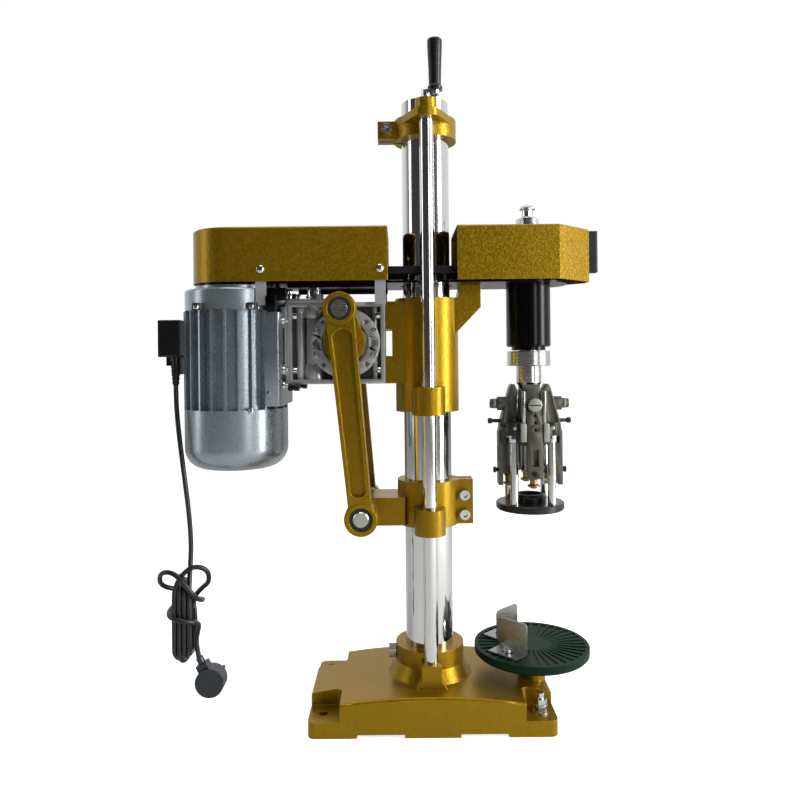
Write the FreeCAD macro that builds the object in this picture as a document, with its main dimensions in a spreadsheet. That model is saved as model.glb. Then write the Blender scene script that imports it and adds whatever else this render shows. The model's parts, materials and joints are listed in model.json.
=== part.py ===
"""Bench-top roll-on pilfer-proof capper: column stand, crank-driven carriage and four-lever capping head.

Frame: origin on the table top, on the column's axis. +X runs from the motor to the capping head,
-Y faces the operator and +Z is up. Lengths are in millimetres and angles in degrees.
At rest the crank stands at its lower dead centre, so the carriage is at the bottom of its stroke.
"""

import FreeCAD, Part
import math
import os
import re
import Sketcher

SIZES = {
    # Base casting
    "base_half_length": 147.0,
    "base_front": 81.0,
    "base_back": 74.0,
    "base_end_height": 33.0,
    "base_crown": 14.0,
    "base_corner_radius": 9.0,
    "foot_recess": 4.0,
    "foot_inner": 33.0,
    "foot_outer": 89.0,
    "lug_hole_inset": 17.0,
    "lug_hole_y": 58.0,
    "lug_hole_diameter": 11.0,
    "lug_pocket_inset": 21.0,
    "lug_pocket_radius": 10.0,
    "lug_front_floor": 18.6,
    "lug_back_floor": 26.0,
    "socket_diameter": 86.0,
    "socket_height": 83.0,
    "socket_foot_diameter": 112.0,
    "socket_foot_height": 56.0,
    "rod_seat_width": 24.0,
    "rod_seat_height": 75.0,
    "rod_seat_reach": 62.0,
    "core_inner": 58.0,
    "core_outer": 101.0,
    "core_wall": 8.0,
    "set_screw_rise": 70.0,
    "set_screw_diameter": 10.0,
    # Bottle table
    "head_offset": 130.0,
    "table_diameter": 145.0,
    "table_thickness": 11.5,
    "table_top": 77.4,
    "table_rim": 5.0,
    "table_rim_height": 1.2,
    "table_centre_diameter": 44.0,
    "table_rib_count": 36,
    "table_rib_width": 3.0,
    "table_boss_diameter": 34.0,
    # Locators
    "locator_length": 42.0,
    "locator_height": 38.0,
    "locator_foot": 24.0,
    "locator_sheet": 2.0,
    "locator_corner": 5.0,
    "locator_angle": 43.0,
    "locator_apex": 9.0,
    "locator_reach": 42.0,
    "slot_length": 16.0,
    "slot_width": 5.4,
    # Column and adjusting screw
    "column_diameter": 60.0,
    "column_bore": 48.0,
    "column_foot": 10.0,
    "column_top": 766.0,
    "screw_diameter": 17.6,
    "screw_offset": 48.0,
    "screw_foot": 70.0,
    "screw_end_diameter": 8.0,
    # Top bracket
    "top_ring_diameter": 79.0,
    "top_ring_low": 718.0,
    "top_ring_height": 26.0,
    "top_ear_reach": 60.0,
    "top_ear_width": 26.0,
    "top_ear_screw_x": 49.0,
    "nose_root": 37.0,
    "nose_tip": 15.0,
    "nose_low": 734.0,
    "nose_thickness": 9.5,
    "nose_boss_diameter": 27.0,
    "nose_boss_height": 12.5,
    # Crank handle
    "handle_low": 757.0,
    "handle_hub": 10.0,
    "handle_hub_diameter": 11.2,
    "handle_throw": 11.0,
    "handle_arm_width": 13.0,
    "handle_arm_thickness": 9.5,
    "grip_diameter": 18.0,
    "grip_pin_diameter": 6.0,
    "grip_length": 63.0,
    # Lower clamp
    "clamp_diameter": 78.0,
    "clamp_low": 234.0,
    "clamp_height": 56.0,
    "clamp_boss_diameter": 38.0,
    "clamp_boss_height": 31.0,
    "clamp_boss_drop": 4.4,
    "clamp_ear_reach": 56.0,
    "clamp_ear_width": 26.0,
    "clamp_slit": 4.0,
    "clamp_ear_screw_x": 45.0,
    "clamp_screw_low": 12.5,
    "clamp_screw_high": 37.0,
    "arm_depth": 60.0,
    "pivot_boss_length": 100.0,
    "clamp_screw_diameter": 8.0,
    "pivot_offset": 82.3,
    "pivot_rise": 19.6,
    "pivot_boss_diameter": 38.0,
    "pivot_pin_diameter": 19.0,
    # Crank and links
    "output_offset": 101.8,
    "crank_radius": 40.0,
    "link_length": 250.0,
    "link_end_diameter": 40.0,
    "link_bush_diameter": 26.0,
    "link_thickness": 20.0,
    "link_inner": 55.0,
    "link_width_top": 33.0,
    "link_width_bottom": 27.0,
    "link_web": 7.0,
    "link_rib": 4.5,
    "crank_thickness": 14.0,
    "crank_end_diameter": 30.0,
    "crank_inner": 38.5,
    "crank_hub_diameter": 50.0,
    "crank_pin_diameter": 19.0,
    "output_diameter": 25.0,
    # Gearbox
    "gearbox_half_width": 35.5,
    "gearbox_depth": 60.0,
    "gearbox_corner": 8.0,
    "gearbox_bolt_count": 8,
    "gearbox_bolt_diameter": 5.0,
    "gearbox_left": 74.2,
    "gearbox_right": 49.3,
    "gearbox_low": 50.5,
    "gearbox_high": 51.0,
    "gearbox_face_diameter": 87.0,
    "gearbox_bore": 60.0,
    "gearbox_bolt_circle": 75.0,
    "worm_offset": 40.2,
    "worm_diameter": 24.0,
    "worm_shaft_diameter": 14.0,
    "worm_length": 44.0,
    "worm_boss_diameter": 36.0,
    "worm_boss_height": 14.0,
    # Carriage
    "sleeve_diameter": 80.0,
    "sleeve_low": 86.5,
    "sleeve_high": 55.5,
    "rod_boss_diameter": 40.0,
    "rod_boss_low": 88.5,
    "rod_boss_height": 34.0,
    "lug_web": 44.0,
    "lug_gap": 33.0,
    "lug_width": 60.0,
    "arm_pad_left": 42.0,
    "arm_pad_right": 67.0,
    "arm_half_width": 22.0,
    # Deck and covers
    "deck_rise": 75.1,
    "deck_sheet": 3.0,
    "deck_flange": 8.0,
    "deck_half_width": 49.0,
    "deck_flange_left": 170.0,
    "deck_flange_right": 50.0,
    "deck_column_hole": 66.0,
    "deck_shaft_hole": 24.0,
    "cover_half_width": 52.0,
    "cover_height": 66.4,
    "cover_sheet": 1.5,
    "left_cover_end": 48.5,
    "right_cover_start": 36.0,
    "right_cover_end": 206.0,
    "right_cover_bend": 160.0,
    "right_cover_nose": 10.0,
    "cover_edge": 3.0,
    "cap_hole": 16.0,
    "strap_width": 13.0,
    "strap_sheet": 1.5,
    "strap_left": 202.0,
    "strap_right": 57.7,
    "strap_top": 62.0,
    "strap_drop": 29.0,
    "cover_screw_rise": 14.5,
    "pad_length": 12.0,
    "pad_width": 16.0,
    "pad_low": 12.4,
    "pad_height": 52.0,
    # Motor
    "motor_offset": 243.6,
    "motor_diameter": 110.0,
    "motor_fin_thickness": 2.4,
    "motor_low": 80.5,
    "motor_high": 41.5,
    "motor_bell_diameter": 126.0,
    "motor_bell_height": 26.5,
    "motor_register": 100.0,
    "fan_cover_diameter": 129.0,
    "fan_cover_low": 155.5,
    "fan_cover_round": 26.0,
    "motor_shaft_diameter": 14.0,
    "motor_fin_count": 24,
    # Belt drive
    "belt_radius": 35.0,
    "belt_width": 9.0,
    "belt_depth": 5.0,
    "flange_height": 2.5,
    "flange_lip": 3.0,
    "head_belt_rise": 14.0,
    "gear_belt_rise": 36.0,
    "gear_belt_small": 17.0,
    "gear_belt_large": 34.0,
    # Capping head
    "housing_diameter": 56.0,
    "housing_length": 78.6,
    "housing_neck": 43.0,
    "housing_neck_length": 4.3,
    "housing_spigot": 46.0,
    "housing_nut_diameter": 64.0,
    "housing_nut_height": 5.0,
    "bearing_diameter": 38.0,
    "bearing_length": 12.0,
    "spindle_diameter": 25.0,
    "spindle_top": 21.0,
    "spindle_tip_diameter": 12.0,
    "spindle_nose_diameter": 16.0,
    "hub_diameter": 54.5,
    "hub_height": 19.0,
    "hub_gap": 0.9,
    "cap_neck_diameter": 14.5,
    "cap_neck_length": 18.5,
    "cap_diameter": 19.5,
    "cone_diameter": 31.5,
    "cone_length": 20.7,
    "cone_nose": 12.6,
    "cone_tip_diameter": 18.4,
    "cone_gap": 0.5,
    "carrier_diameter": 82.0,
    "carrier_thickness": 25.0,
    "carrier_top": 181.6,
    "lever_slot": 20.0,
    "slot_inner": 17.0,
    "lever_width": 19.0,
    "lever_pivot_radius": 30.0,
    "lever_pivot_drop": 192.6,
    "lever_pin_diameter": 6.0,
    "lever_pin_length": 34.0,
    "lever_apex": 64.0,
    "lever_foot": 49.5,
    "lever_tip": 64.0,
    "lever_bolt_rise": 39.0,
    "lever_bolt_reach": 43.0,
    "lever_bolt_diameter": 13.0,
    "lever_bolt_head": 8.0,
    "lever_boss_diameter": 18.0,
    "stop_screw_rise": 17.5,
    "stop_screw_diameter": 5.0,
    "stop_screw_reach": 53.0,
    "post_diameter": 10.5,
    "post_circle": 66.0,
    "post_length": 72.0,
    "post_seat": 12.0,
    "guide_diameter": 86.0,
    "guide_thickness": 9.0,
    "guide_bore": 30.0,
    "guide_collar_diameter": 40.0,
    "guide_collar_height": 10.0,
    "roller_diameter": 15.0,
    "roller_waist": 9.2,
    "roller_length": 14.0,
    "roller_circle": 52.0,
    "roller_pin_diameter": 5.0,
    "block_diameter": 22.0,
    "block_length": 34.0,
    "block_travel": 8.0,
    "block_stem_diameter": 8.0,
    "block_stem_length": 13.0,
    # Switch box and cord
    "switch_left": 90.4,
    "switch_right": 64.8,
    "switch_low": 15.2,
    "switch_high": 30.8,
    "switch_half_width": 30.0,
    "switch_step": 11.0,
    "terminal_pad_left": 64.8,
    "terminal_pad_half_width": 24.0,
    "gland_offset_x": 70.4,
    "gland_offset_y": 24.0,
    "gland_diameter": 11.0,
    "gland_length": 10.0,
    "cord_diameter": 6.0,
    "hank_x": -299.8,
    "hank_y": -40.0,
    "hank_low": 77.0,
    "hank_width": 30.0,
    "hank_height": 103.0,
    "hank_depth": 36.0,
    "hank_loop_radius": 12.0,
    "hank_left_loop_x": 15.5,
    "hank_left_loop_z": 81.0,
    "hank_right_loop_x": 11.5,
    "hank_right_loop_z": 90.0,
    "plug_x": -269.3,
    "plug_z": 51.7,
    "plug_tilt": 27.0,
    "plug_width": 35.0,
    "plug_depth": 20.0,
    "plug_neck": 14.0,
    "plug_neck_reach": 24.0,
    "plug_relief": 9.0,
    "plug_reach": 32.0,
    "plug_pin_diameter": 4.8,
    "plug_pin_length": 18.0,
    "plug_pin_spacing": 19.0,
    # Fits
    "running_gap": 0.05,
    "side_gap": 0.5,
    "soft_gap": 0.3,
}

DOC = FreeCAD.newDocument("Capper")
SHEET = DOC.addObject("Spreadsheet::Sheet", "Sizes")
for row, (alias, number) in enumerate(SIZES.items(), start=1):
    SHEET.set("A%d" % row, alias)
    SHEET.set("B%d" % row, str(number))
    SHEET.setAlias("B%d" % row, alias)
DOC.recompute()

WORD = re.compile(r"[a-z][a-z_0-9]*")
PIECES = {}


def full(formula):
    """The formula with each size's name written out as its cell in the sheet."""
    return WORD.sub(lambda word: "Sizes." + word.group() if word.group() in SIZES else word.group(),
                    formula)


def bind(thing, target, formula):
    """Tie one property or constraint of an object to the sheet."""
    thing.setExpression(target, full(formula))


def value(formula):
    """What a formula comes to with the sheet's present numbers."""
    result = SHEET.evalExpression(full(formula))
    return float(getattr(result, "Value", result))


def arc_between(start, end, radius):
    """A round edge from start to end; a positive radius turns left and a negative one turns right."""
    chord = end - start
    middle = (start + end) * 0.5
    left = FreeCAD.Vector(-chord.y, chord.x, 0).normalize()
    rise = math.sqrt(max(radius * radius - chord.Length ** 2 / 4, 0.0))
    centre = middle + left * (rise if radius > 0 else -rise)
    circle = Part.Circle(centre, FreeCAD.Vector(0, 0, 1), abs(radius))
    first, last = (start, end) if radius > 0 else (end, start)
    from_angle = math.atan2(first.y - centre.y, first.x - centre.x)
    to_angle = math.atan2(last.y - centre.y, last.x - centre.x)
    if to_angle <= from_angle:
        to_angle += 2 * math.pi
    return Part.ArcOfCircle(circle, from_angle, to_angle)


class Piece:
    """One sub-part: a body with its label, its place and the features that it is made of."""

    def __init__(self, label, x="0", y="0", z="0", turn=None):
        self.label = label
        self.body = DOC.addObject("PartDesign::Body", label)
        self.body.Label = label
        if turn is not None:
            self.body.Placement = FreeCAD.Placement(FreeCAD.Vector(), turn)
        for axis, formula in zip("xyz", (x, y, z)):
            bind(self.body, "Placement.Base." + axis, formula)
        PIECES[label] = self.body

    def sketch(self, plane, level):
        """An empty sketch on one of the body's own planes, moved along that plane's normal."""
        sketch = self.body.newObject("Sketcher::SketchObject", self.label + "_sketch")
        role = plane + "_Plane"
        origin_plane = next(item for item in self.body.Origin.OriginFeatures if item.Role == role)
        sketch.AttachmentSupport = (origin_plane, "")
        sketch.MapMode = "FlatFace"
        bind(sketch, "AttachmentOffset.Base.z", level)
        return sketch

    def outline(self, plane, level, corners):
        """A closed outline. A corner is (across, up), or (across, up, radius) where a round edge starts."""
        sketch = self.sketch(plane, level)
        points = [FreeCAD.Vector(value(corner[0]), value(corner[1]), 0) for corner in corners]
        ends = []
        for index, corner in enumerate(corners):
            start = points[index]
            end = points[(index + 1) % len(points)]
            if len(corner) == 3:
                radius = value(corner[2])
                sketch.addGeometry(arc_between(start, end, radius))
                ends.append((1, 2) if radius > 0 else (2, 1))
            else:
                sketch.addGeometry(Part.LineSegment(start, end))
                ends.append((1, 2))
        for index in range(len(corners)):
            following = (index + 1) % len(corners)
            join = Sketcher.Constraint("Coincident", index, ends[index][1], following, ends[following][0])
            sketch.addConstraint(join)
        for index, corner in enumerate(corners):
            start_point = ends[index][0]
            for kind, formula in zip(("DistanceX", "DistanceY"), corner):
                rule = Sketcher.Constraint(kind, -1, 1, index, start_point, value(formula))
                number = sketch.addConstraint(rule)
                bind(sketch, "Constraints[%d]" % number, formula)
            if len(corner) == 3:
                number = sketch.addConstraint(Sketcher.Constraint("Radius", index, abs(value(corner[2]))))
                bind(sketch, "Constraints[%d]" % number, "abs(%s)" % corner[2])
        return sketch

    def rounds(self, plane, level, circles):
        """Circles in one sketch, each one (across, up, radius). One inside another makes a ring."""
        sketch = self.sketch(plane, level)
        for index, circle in enumerate(circles):
            across, up, radius = circle
            centre = FreeCAD.Vector(value(across), value(up), 0)
            sketch.addGeometry(Part.Circle(centre, FreeCAD.Vector(0, 0, 1), value(radius)))
            for kind, formula in (("DistanceX", across), ("DistanceY", up)):
                rule = Sketcher.Constraint(kind, -1, 1, index, 3, value(formula))
                number = sketch.addConstraint(rule)
                bind(sketch, "Constraints[%d]" % number, formula)
            number = sketch.addConstraint(Sketcher.Constraint("Radius", index, value(radius)))
            bind(sketch, "Constraints[%d]" % number, radius)
        return sketch

    def drawn(self, plane, level, shape):
        """A sketch of circles if the shape's first entry is called round, and of one outline otherwise."""
        if shape[0] == "round":
            return self.rounds(plane, level, shape[1:])
        return self.outline(plane, level, shape)

    def add(self, plane, shape, low, high):
        """Material between two levels along the plane's own axis."""
        level = "-(%s)" % high if plane == "XZ" else low
        feature = self.body.newObject("PartDesign::Pad", self.label + "_pad")
        feature.Profile = self.drawn(plane, level, shape)
        bind(feature, "Length", "(%s) - (%s)" % (high, low))
        return feature

    def cut(self, plane, shape, low, high):
        """Material taken away between two levels along the plane's own axis."""
        level = "-(%s)" % low if plane == "XZ" else high
        feature = self.body.newObject("PartDesign::Pocket", self.label + "_pocket")
        feature.Profile = self.drawn(plane, level, shape)
        bind(feature, "Length", "(%s) - (%s)" % (high, low))
        return feature

    def turned(self, corners, along="Z", groove=False):
        """A turned form about the body's Z or Y axis: each corner is (radius, height)."""
        kind = "PartDesign::Groove" if groove else "PartDesign::Revolution"
        sketch = self.outline("XZ" if along == "Z" else "XY", "0", corners)
        feature = self.body.newObject(kind, self.label + "_turned")
        feature.Profile = sketch
        feature.ReferenceAxis = (sketch, ["V_Axis"])
        feature.Angle = 360
        return feature

    def ring_of(self, feature, count, along="Z"):
        """Copies of a feature spaced evenly about one of the body's axes."""
        axis = next(item for item in self.body.Origin.OriginFeatures if item.Role == along + "_Axis")
        pattern = self.body.newObject("PartDesign::PolarPattern", self.label + "_ring")
        pattern.Originals = [feature]
        pattern.Axis = (axis, [""])
        pattern.Angle = 360
        bind(pattern, "Occurrences", count)
        self.body.Tip = pattern
        return pattern

    def soften(self, kind, size, choose):
        """A Fillet or Chamfer on the edges that the test picks."""
        DOC.recompute()
        tip = self.body.Tip
        names = ["Edge%d" % number for number, edge in enumerate(tip.Shape.Edges, start=1) if choose(edge)]
        feature = self.body.newObject("PartDesign::" + kind, self.label + "_" + kind.lower())
        feature.Base = (tip, names)
        bind(feature, "Radius" if kind == "Fillet" else "Size", size)
        return feature


def box(left, right, low, high):
    """The corners of a rectangle, anticlockwise."""
    return [(left, low), (right, low), (right, high), (left, high)]


def disc(across, up, radius):
    """One circle as a shape."""
    return ["round", (across, up, radius)]


TURNS = {
    "+X": FreeCAD.Rotation(FreeCAD.Vector(0, 1, 0), 90),
    "-X": FreeCAD.Rotation(FreeCAD.Vector(0, 1, 0), -90),
    "+Y": FreeCAD.Rotation(FreeCAD.Vector(1, 0, 0), -90),
    "-Y": FreeCAD.Rotation(FreeCAD.Vector(1, 0, 0), 90),
    "+Z": FreeCAD.Rotation(),
    "-Z": FreeCAD.Rotation(FreeCAD.Vector(1, 0, 0), 180),
}


def place(thing, direction, spot):
    """Stand a primitive at a spot with its length running in a direction."""
    thing.Placement = FreeCAD.Placement(FreeCAD.Vector(), TURNS[direction])
    for axis, formula in zip("xyz", spot):
        bind(thing, "Placement.Base." + axis, formula)
    return thing


def rod(direction, spot, radius, length):
    """A plain cylinder."""
    cylinder = DOC.addObject("Part::Cylinder", "rod")
    bind(cylinder, "Radius", radius)
    bind(cylinder, "Height", length)
    return place(cylinder, direction, spot)


def hexagon(direction, spot, across_flats, length):
    """A hexagonal prism, given its width across flats."""
    prism = DOC.addObject("Part::Prism", "hexagon")
    prism.Polygon = 6
    bind(prism, "Circumradius", "(%s) / sqrt(3)" % across_flats)
    bind(prism, "Height", length)
    return place(prism, direction, spot)


def fused(*shapes):
    """One solid from several."""
    union = DOC.addObject("Part::MultiFuse", "union")
    union.Shapes = list(shapes)
    return union


def without(base, tool):
    """A solid less another."""
    difference = DOC.addObject("Part::Cut", "difference")
    difference.Base = base
    difference.Tool = tool
    return difference


def group(label, solids):
    """Separate solids that share one node."""
    compound = DOC.addObject("Part::Compound", label)
    compound.Label = label
    compound.Links = list(solids)
    PIECES[label] = compound
    return compound


def single(label, solid):
    """A primitive or boolean as a sub-part of its own."""
    solid.Label = label
    PIECES[label] = solid
    return solid


def near(first, second, slack=0.05):
    """Whether two lengths are the same within a small slack."""
    return abs(first - second) < slack


def upright(edge):
    """Whether an edge is straight and runs along Z."""
    box_of = edge.BoundBox
    return box_of.XLength < 0.01 and box_of.YLength < 0.01 and box_of.ZLength > 0.01


# The stand


# The lug holes keep their distance from the ends of the base
LUG_HOLE = "(base_half_length - lug_hole_inset)"


def base_casting():
    """The cast foot: a crowned slab with four bolt lugs, the column's socket and the table's boss."""
    base = Piece("base_casting")
    end = "base_end_height"
    base.add("XZ", [
        ("-base_half_length", "0"), ("-foot_outer", "0"), ("-foot_outer", "foot_recess"),
        ("-foot_inner", "foot_recess"), ("-foot_inner", "0"), ("foot_inner", "0"),
        ("foot_inner", "foot_recess"), ("foot_outer", "foot_recess"), ("foot_outer", "0"),
        ("base_half_length", "0"),
        ("base_half_length", end, "(base_half_length ^ 2 + base_crown ^ 2) / (2 * base_crown)"),
        ("-base_half_length", end),
    ], "-base_front", "base_back")
    ends = value("base_half_length")
    base.soften("Fillet", "base_corner_radius",
                lambda edge: upright(edge) and edge.BoundBox.ZMax > value(end)
                - 1 and near(abs(edge.BoundBox.XMin), ends))
    base.soften("Fillet", "3", lambda edge: edge.BoundBox.ZMin > value(end) - 0.01)
    for side in ("", "-"):
        for depth, floor, edge in (("-", "lug_front_floor", "-base_front - 5"),
                                   ("", "lug_back_floor", "base_back + 5")):
            outer_x = side + "(base_half_length + 5)"
            inner_x = side + "(" + LUG_HOLE + " - lug_pocket_inset)"
            inner_y = depth + "(lug_hole_y - lug_pocket_inset)"
            bend_x = side + "(" + LUG_HOLE + " - lug_pocket_inset + lug_pocket_radius)"
            bend_y = depth + "(lug_hole_y - lug_pocket_inset + lug_pocket_radius)"
            bend = "lug_pocket_radius" if (side == "-") == (depth == "-") else "-lug_pocket_radius"
            base.cut("XY", [(outer_x, inner_y), (outer_x, edge), (inner_x, edge), (inner_x, bend_y, bend),
                            (bend_x, inner_y)], floor, end + " + base_crown")
            base.cut("XY", disc(side + LUG_HOLE, depth + "lug_hole_y", "lug_hole_diameter / 2"),
                     "-1", floor + " + 1")
    low = end + " + base_crown - 8"
    base.turned([("0", low), ("socket_foot_diameter / 2", low),
                 ("socket_diameter / 2", "socket_foot_height + 6", "-(socket_foot_diameter / 2)"),
                 ("0", "socket_foot_height + 6")])
    base.add("XY", disc("0", "0", "socket_diameter / 2"), low, "socket_height")
    base.add("XZ", [("-rod_seat_width", low), ("rod_seat_width", low),
                    ("rod_seat_width / 2", "socket_foot_height"),
                    ("rod_seat_width / 2", "rod_seat_height"), ("-rod_seat_width / 2", "rod_seat_height"),
                    ("-rod_seat_width / 2", "socket_foot_height")], "-rod_seat_reach",
                    "-column_diameter / 2")
    base.add("XY", disc("head_offset", "0", "table_boss_diameter / 2"), end + " - 4",
             "table_top - table_thickness")
    base.cut("XY", disc("0", "0", "column_diameter / 2 + running_gap"), "column_foot", "socket_height + 1")
    base.cut("XY", disc("0", "-screw_offset", "screw_diameter / 2 + running_gap"),
             "screw_foot - soft_gap", "rod_seat_height + 1")
    base.cut("XY", disc("0", "-screw_offset", "screw_diameter / 2 + side_gap"),
             "rod_seat_height", "socket_height + 1")
    base.cut("YZ", disc("0", "set_screw_rise", "set_screw_diameter"), "-socket_diameter",
             "-socket_diameter / 2")
    base.cut("YZ", disc("0", "set_screw_rise", "set_screw_diameter / 2 + running_gap"), "-socket_diameter",
             "0")
    for left, right in (("core_inner", "core_outer"), ("-core_outer", "-core_inner")):
        base.cut("XY", box(left, right, "-base_front + core_wall", "base_back - core_wall"),
                 "-1", end + " - core_wall")
    return base


def column():
    """The chromed tube that everything rides on."""
    tube = Piece("column")
    tube.add("XY", ["round", ("0", "0", "column_diameter / 2"), ("0", "0", "column_bore / 2")],
             "column_foot + soft_gap", "column_top")


def stand_screws():
    """The hexagon screw that locks the column in its socket, and the top bracket's clamp screw."""
    head = hexagon("-X", ("-socket_diameter / 2", "0", "set_screw_rise"), "16", "9")
    shank = rod("-X", ("-column_diameter / 2 - soft_gap", "0", "set_screw_rise"), "set_screw_diameter / 2",
                "(socket_diameter - column_diameter) / 2")
    return fused(head, shank), clamp_screw("-top_ear_screw_x", "top_ring_low + top_ring_height / 2",
                                           "top_ear_width")


def clamp_screw(x, z, width):
    """A socket-head screw through a split ear along Y, with its hexagon nut behind."""
    half = "(%s) / 2" % width
    shank = rod("+Y", (x, "-(%s)" % half, z), "clamp_screw_diameter / 2 - running_gap", width)
    head = rod("-Y", (x, "-(%s)" % half, z), "clamp_screw_diameter * 0.8", "clamp_screw_diameter")
    key = hexagon("+Y", (x, "-(%s) - clamp_screw_diameter" % half, z), "clamp_screw_diameter * 0.75",
                  "clamp_screw_diameter / 2")
    nut = hexagon("+Y", (x, half, z), "clamp_screw_diameter * 1.6", "clamp_screw_diameter * 0.75")
    return fused(shank, without(head, key), nut)


def top_bracket():
    """The split ring at the column's top, whose nose carries the adjusting screw."""
    ring = Piece("top_bracket")
    top = "top_ring_low + top_ring_height"
    ring.add("XY", disc("0", "0", "top_ring_diameter / 2"), "top_ring_low", top)
    ring.add("XY", box("-top_ear_reach", "-column_diameter / 2", "-top_ear_width / 2", "top_ear_width / 2"),
             "top_ring_low + 2", top + " - 2")
    ring.add("XY", [("-nose_root", "-nose_root / 3"),
                    ("-nose_tip", "-screw_offset - nose_tip / 2", "nose_tip * 1.2"),
                    ("nose_tip", "-screw_offset - nose_tip / 2"), ("nose_root", "-nose_root / 3")],
             "nose_low", "nose_low + nose_thickness")
    ring.add("XY", disc("0", "-screw_offset", "nose_boss_diameter / 2"), "nose_low",
             "nose_low + nose_thickness + nose_boss_height")
    ring.cut("XY", disc("0", "0", "column_diameter / 2 + running_gap"), "top_ring_low - 1", top + " + 30")
    ring.cut("XY", box("-top_ear_reach - 1", "0", "-clamp_slit / 2", "clamp_slit / 2"),
             "top_ring_low - 1", top + " + 1")
    ring.cut("XZ",
             disc("-top_ear_screw_x", "top_ring_low + top_ring_height / 2", "clamp_screw_diameter / 2"),
             "-top_ear_width", "top_ear_width")
    ring.cut("XY", disc("0", "-screw_offset", "screw_diameter / 2 + side_gap"), "top_ring_low - 1",
             "nose_low")
    ring.cut("XY", disc("0", "-screw_offset", "screw_diameter / 2 + running_gap"), "nose_low - 1",
             "nose_low + nose_thickness + nose_boss_height + 1")


def bottle_table():
    """The rubber disc that a bottle stands on, with radial ribs inside a raised rim."""
    table = Piece("bottle_table", "head_offset", "0", "table_top")
    under = "-table_thickness"
    radius = "table_diameter / 2"
    table.turned([("0", under), (radius + " - 3", under), (radius, under + " + 3"), (radius, "0"),
                  (radius + " - table_rim", "0"), (radius + " - table_rim", "-table_rim_height"),
                  ("table_centre_diameter / 2", "-table_rim_height"), ("table_centre_diameter / 2", "0"),
                  ("0", "0")])
    rib = table.add("XY", box("table_centre_diameter / 2 - 1", radius + " - table_rim + 1",
                              "-table_rib_width / 2",
                              "table_rib_width / 2"), "-table_rim_height - 1", "0")
    table.ring_of(rib, "table_rib_count")
    for side in (-1, 1):
        across, depth = locator_spot(side)
        table.cut("XY", disc(across + " - head_offset", depth, "slot_width / 2"), under + " - 1", "1")
    return table


def locator(label, side):
    """A folded angle on the table; the front one's foot points forward and the rear one's back."""
    sign = "-" if side < 0 else ""
    turn = FreeCAD.Rotation(FreeCAD.Vector(0, 0, 1), side * value("locator_angle"))
    angle = Piece(label, "head_offset - locator_reach", sign + "locator_apex", "table_top", turn)
    foot = ("-locator_foot", "0") if side < 0 else ("0", "locator_foot")
    wall = ("-locator_sheet", "0") if side < 0 else ("0", "locator_sheet")
    angle.add("XY", box("0", "locator_length", *foot), "0", "locator_sheet")
    angle.add("XY", box("0", "locator_length", *wall), "0", "locator_height")
    middle = sign + "locator_foot * 0.55"
    half = "slot_length / 2"
    width = "slot_width / 2"
    angle.cut("XY", [("locator_length / 2 - %s + %s" % (half, width), "%s - %s" % (middle, width)),
                     ("locator_length / 2 + %s - %s" % (half, width), "%s - %s" % (middle, width)),
                     ("locator_length / 2 + %s - %s" % (half, width), "%s + %s" % (middle, width)),
                     ("locator_length / 2 - %s + %s" % (half, width), "%s + %s" % (middle, width))],
              "-1", "locator_sheet + 1")
    for end in ("-", "+"):
        across = "locator_length / 2 %s (%s - %s)" % (end, half, width)
        angle.cut("XY", disc(across, middle, width), "-1", "locator_sheet + 1")
    top = value("locator_height")
    sheet = value("locator_sheet")
    angle.soften("Fillet", "locator_corner",
                 lambda edge: near(edge.BoundBox.ZMin, top) and near(edge.Length, sheet))
    return angle


def locator_spot(side):
    """Where a locator's slot has its middle, as formulas for across and depth."""
    sign = "-" if side < 0 else ""
    along = "locator_length / 2"
    aside = sign + "(locator_foot * 0.55)"
    turn = "(%d * locator_angle * 1 deg)" % side
    across = "head_offset - locator_reach + %s * cos(%s) - %s * sin(%s)" % (along, turn, aside, turn)
    depth = "%slocator_apex + %s * sin(%s) + %s * cos(%s)" % (sign, along, turn, aside, turn)
    return across, depth


def locator_screws():
    """The two cap screws that hold the locators down through their slots."""
    screws = []
    for side in (-1, 1):
        across, depth = locator_spot(side)
        seat = "table_top + locator_sheet"
        head = rod("+Z", (across, depth, seat + " + soft_gap / 3"), "slot_width / 2 + 2", "4")
        key = hexagon("+Z", (across, depth, seat + " + 2"), "4", "3")
        shank = rod("+Z", (across, depth, "table_top - table_thickness + 2"), "slot_width / 2 - 0.3",
                    "table_thickness + locator_sheet")
        screws.append(fused(without(head, key), shank))
    return screws


def earth_bolt():
    """The stud with two nuts and washers in the front right lug."""
    spot = (LUG_HOLE, "-lug_hole_y")
    floor = "lug_front_floor"
    return fused(
        rod("+Z", (*spot, "6"), "4", floor + " + 17"),
        rod("+Z", (*spot, floor), "9.5", "1.6"),
        hexagon("+Z", (*spot, floor + " + 1.6"), "13", "6.5"),
        rod("+Z", (*spot, floor + " + 8.1"), "8", "1.6"),
        hexagon("+Z", (*spot, floor + " + 9.7"), "13", "6.5"),
    )


# The adjusting screw and its crank handle


def adjusting_screw():
    """The long spindle in front of the column; its thread runs in the lower clamp's boss."""
    spindle = Piece("adjusting_screw", "0", "-screw_offset")
    shoulder = "nose_low + nose_thickness + nose_boss_height + 0.5"
    spindle.turned([("0", "screw_foot"), ("screw_diameter / 2 - 1", "screw_foot"),
                    ("screw_diameter / 2", "screw_foot + 1"), ("screw_diameter / 2", shoulder),
                    ("screw_end_diameter / 2", shoulder),
                    ("screw_end_diameter / 2", "handle_low + handle_hub"),
                    ("0", "handle_low + handle_hub")])


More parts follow.
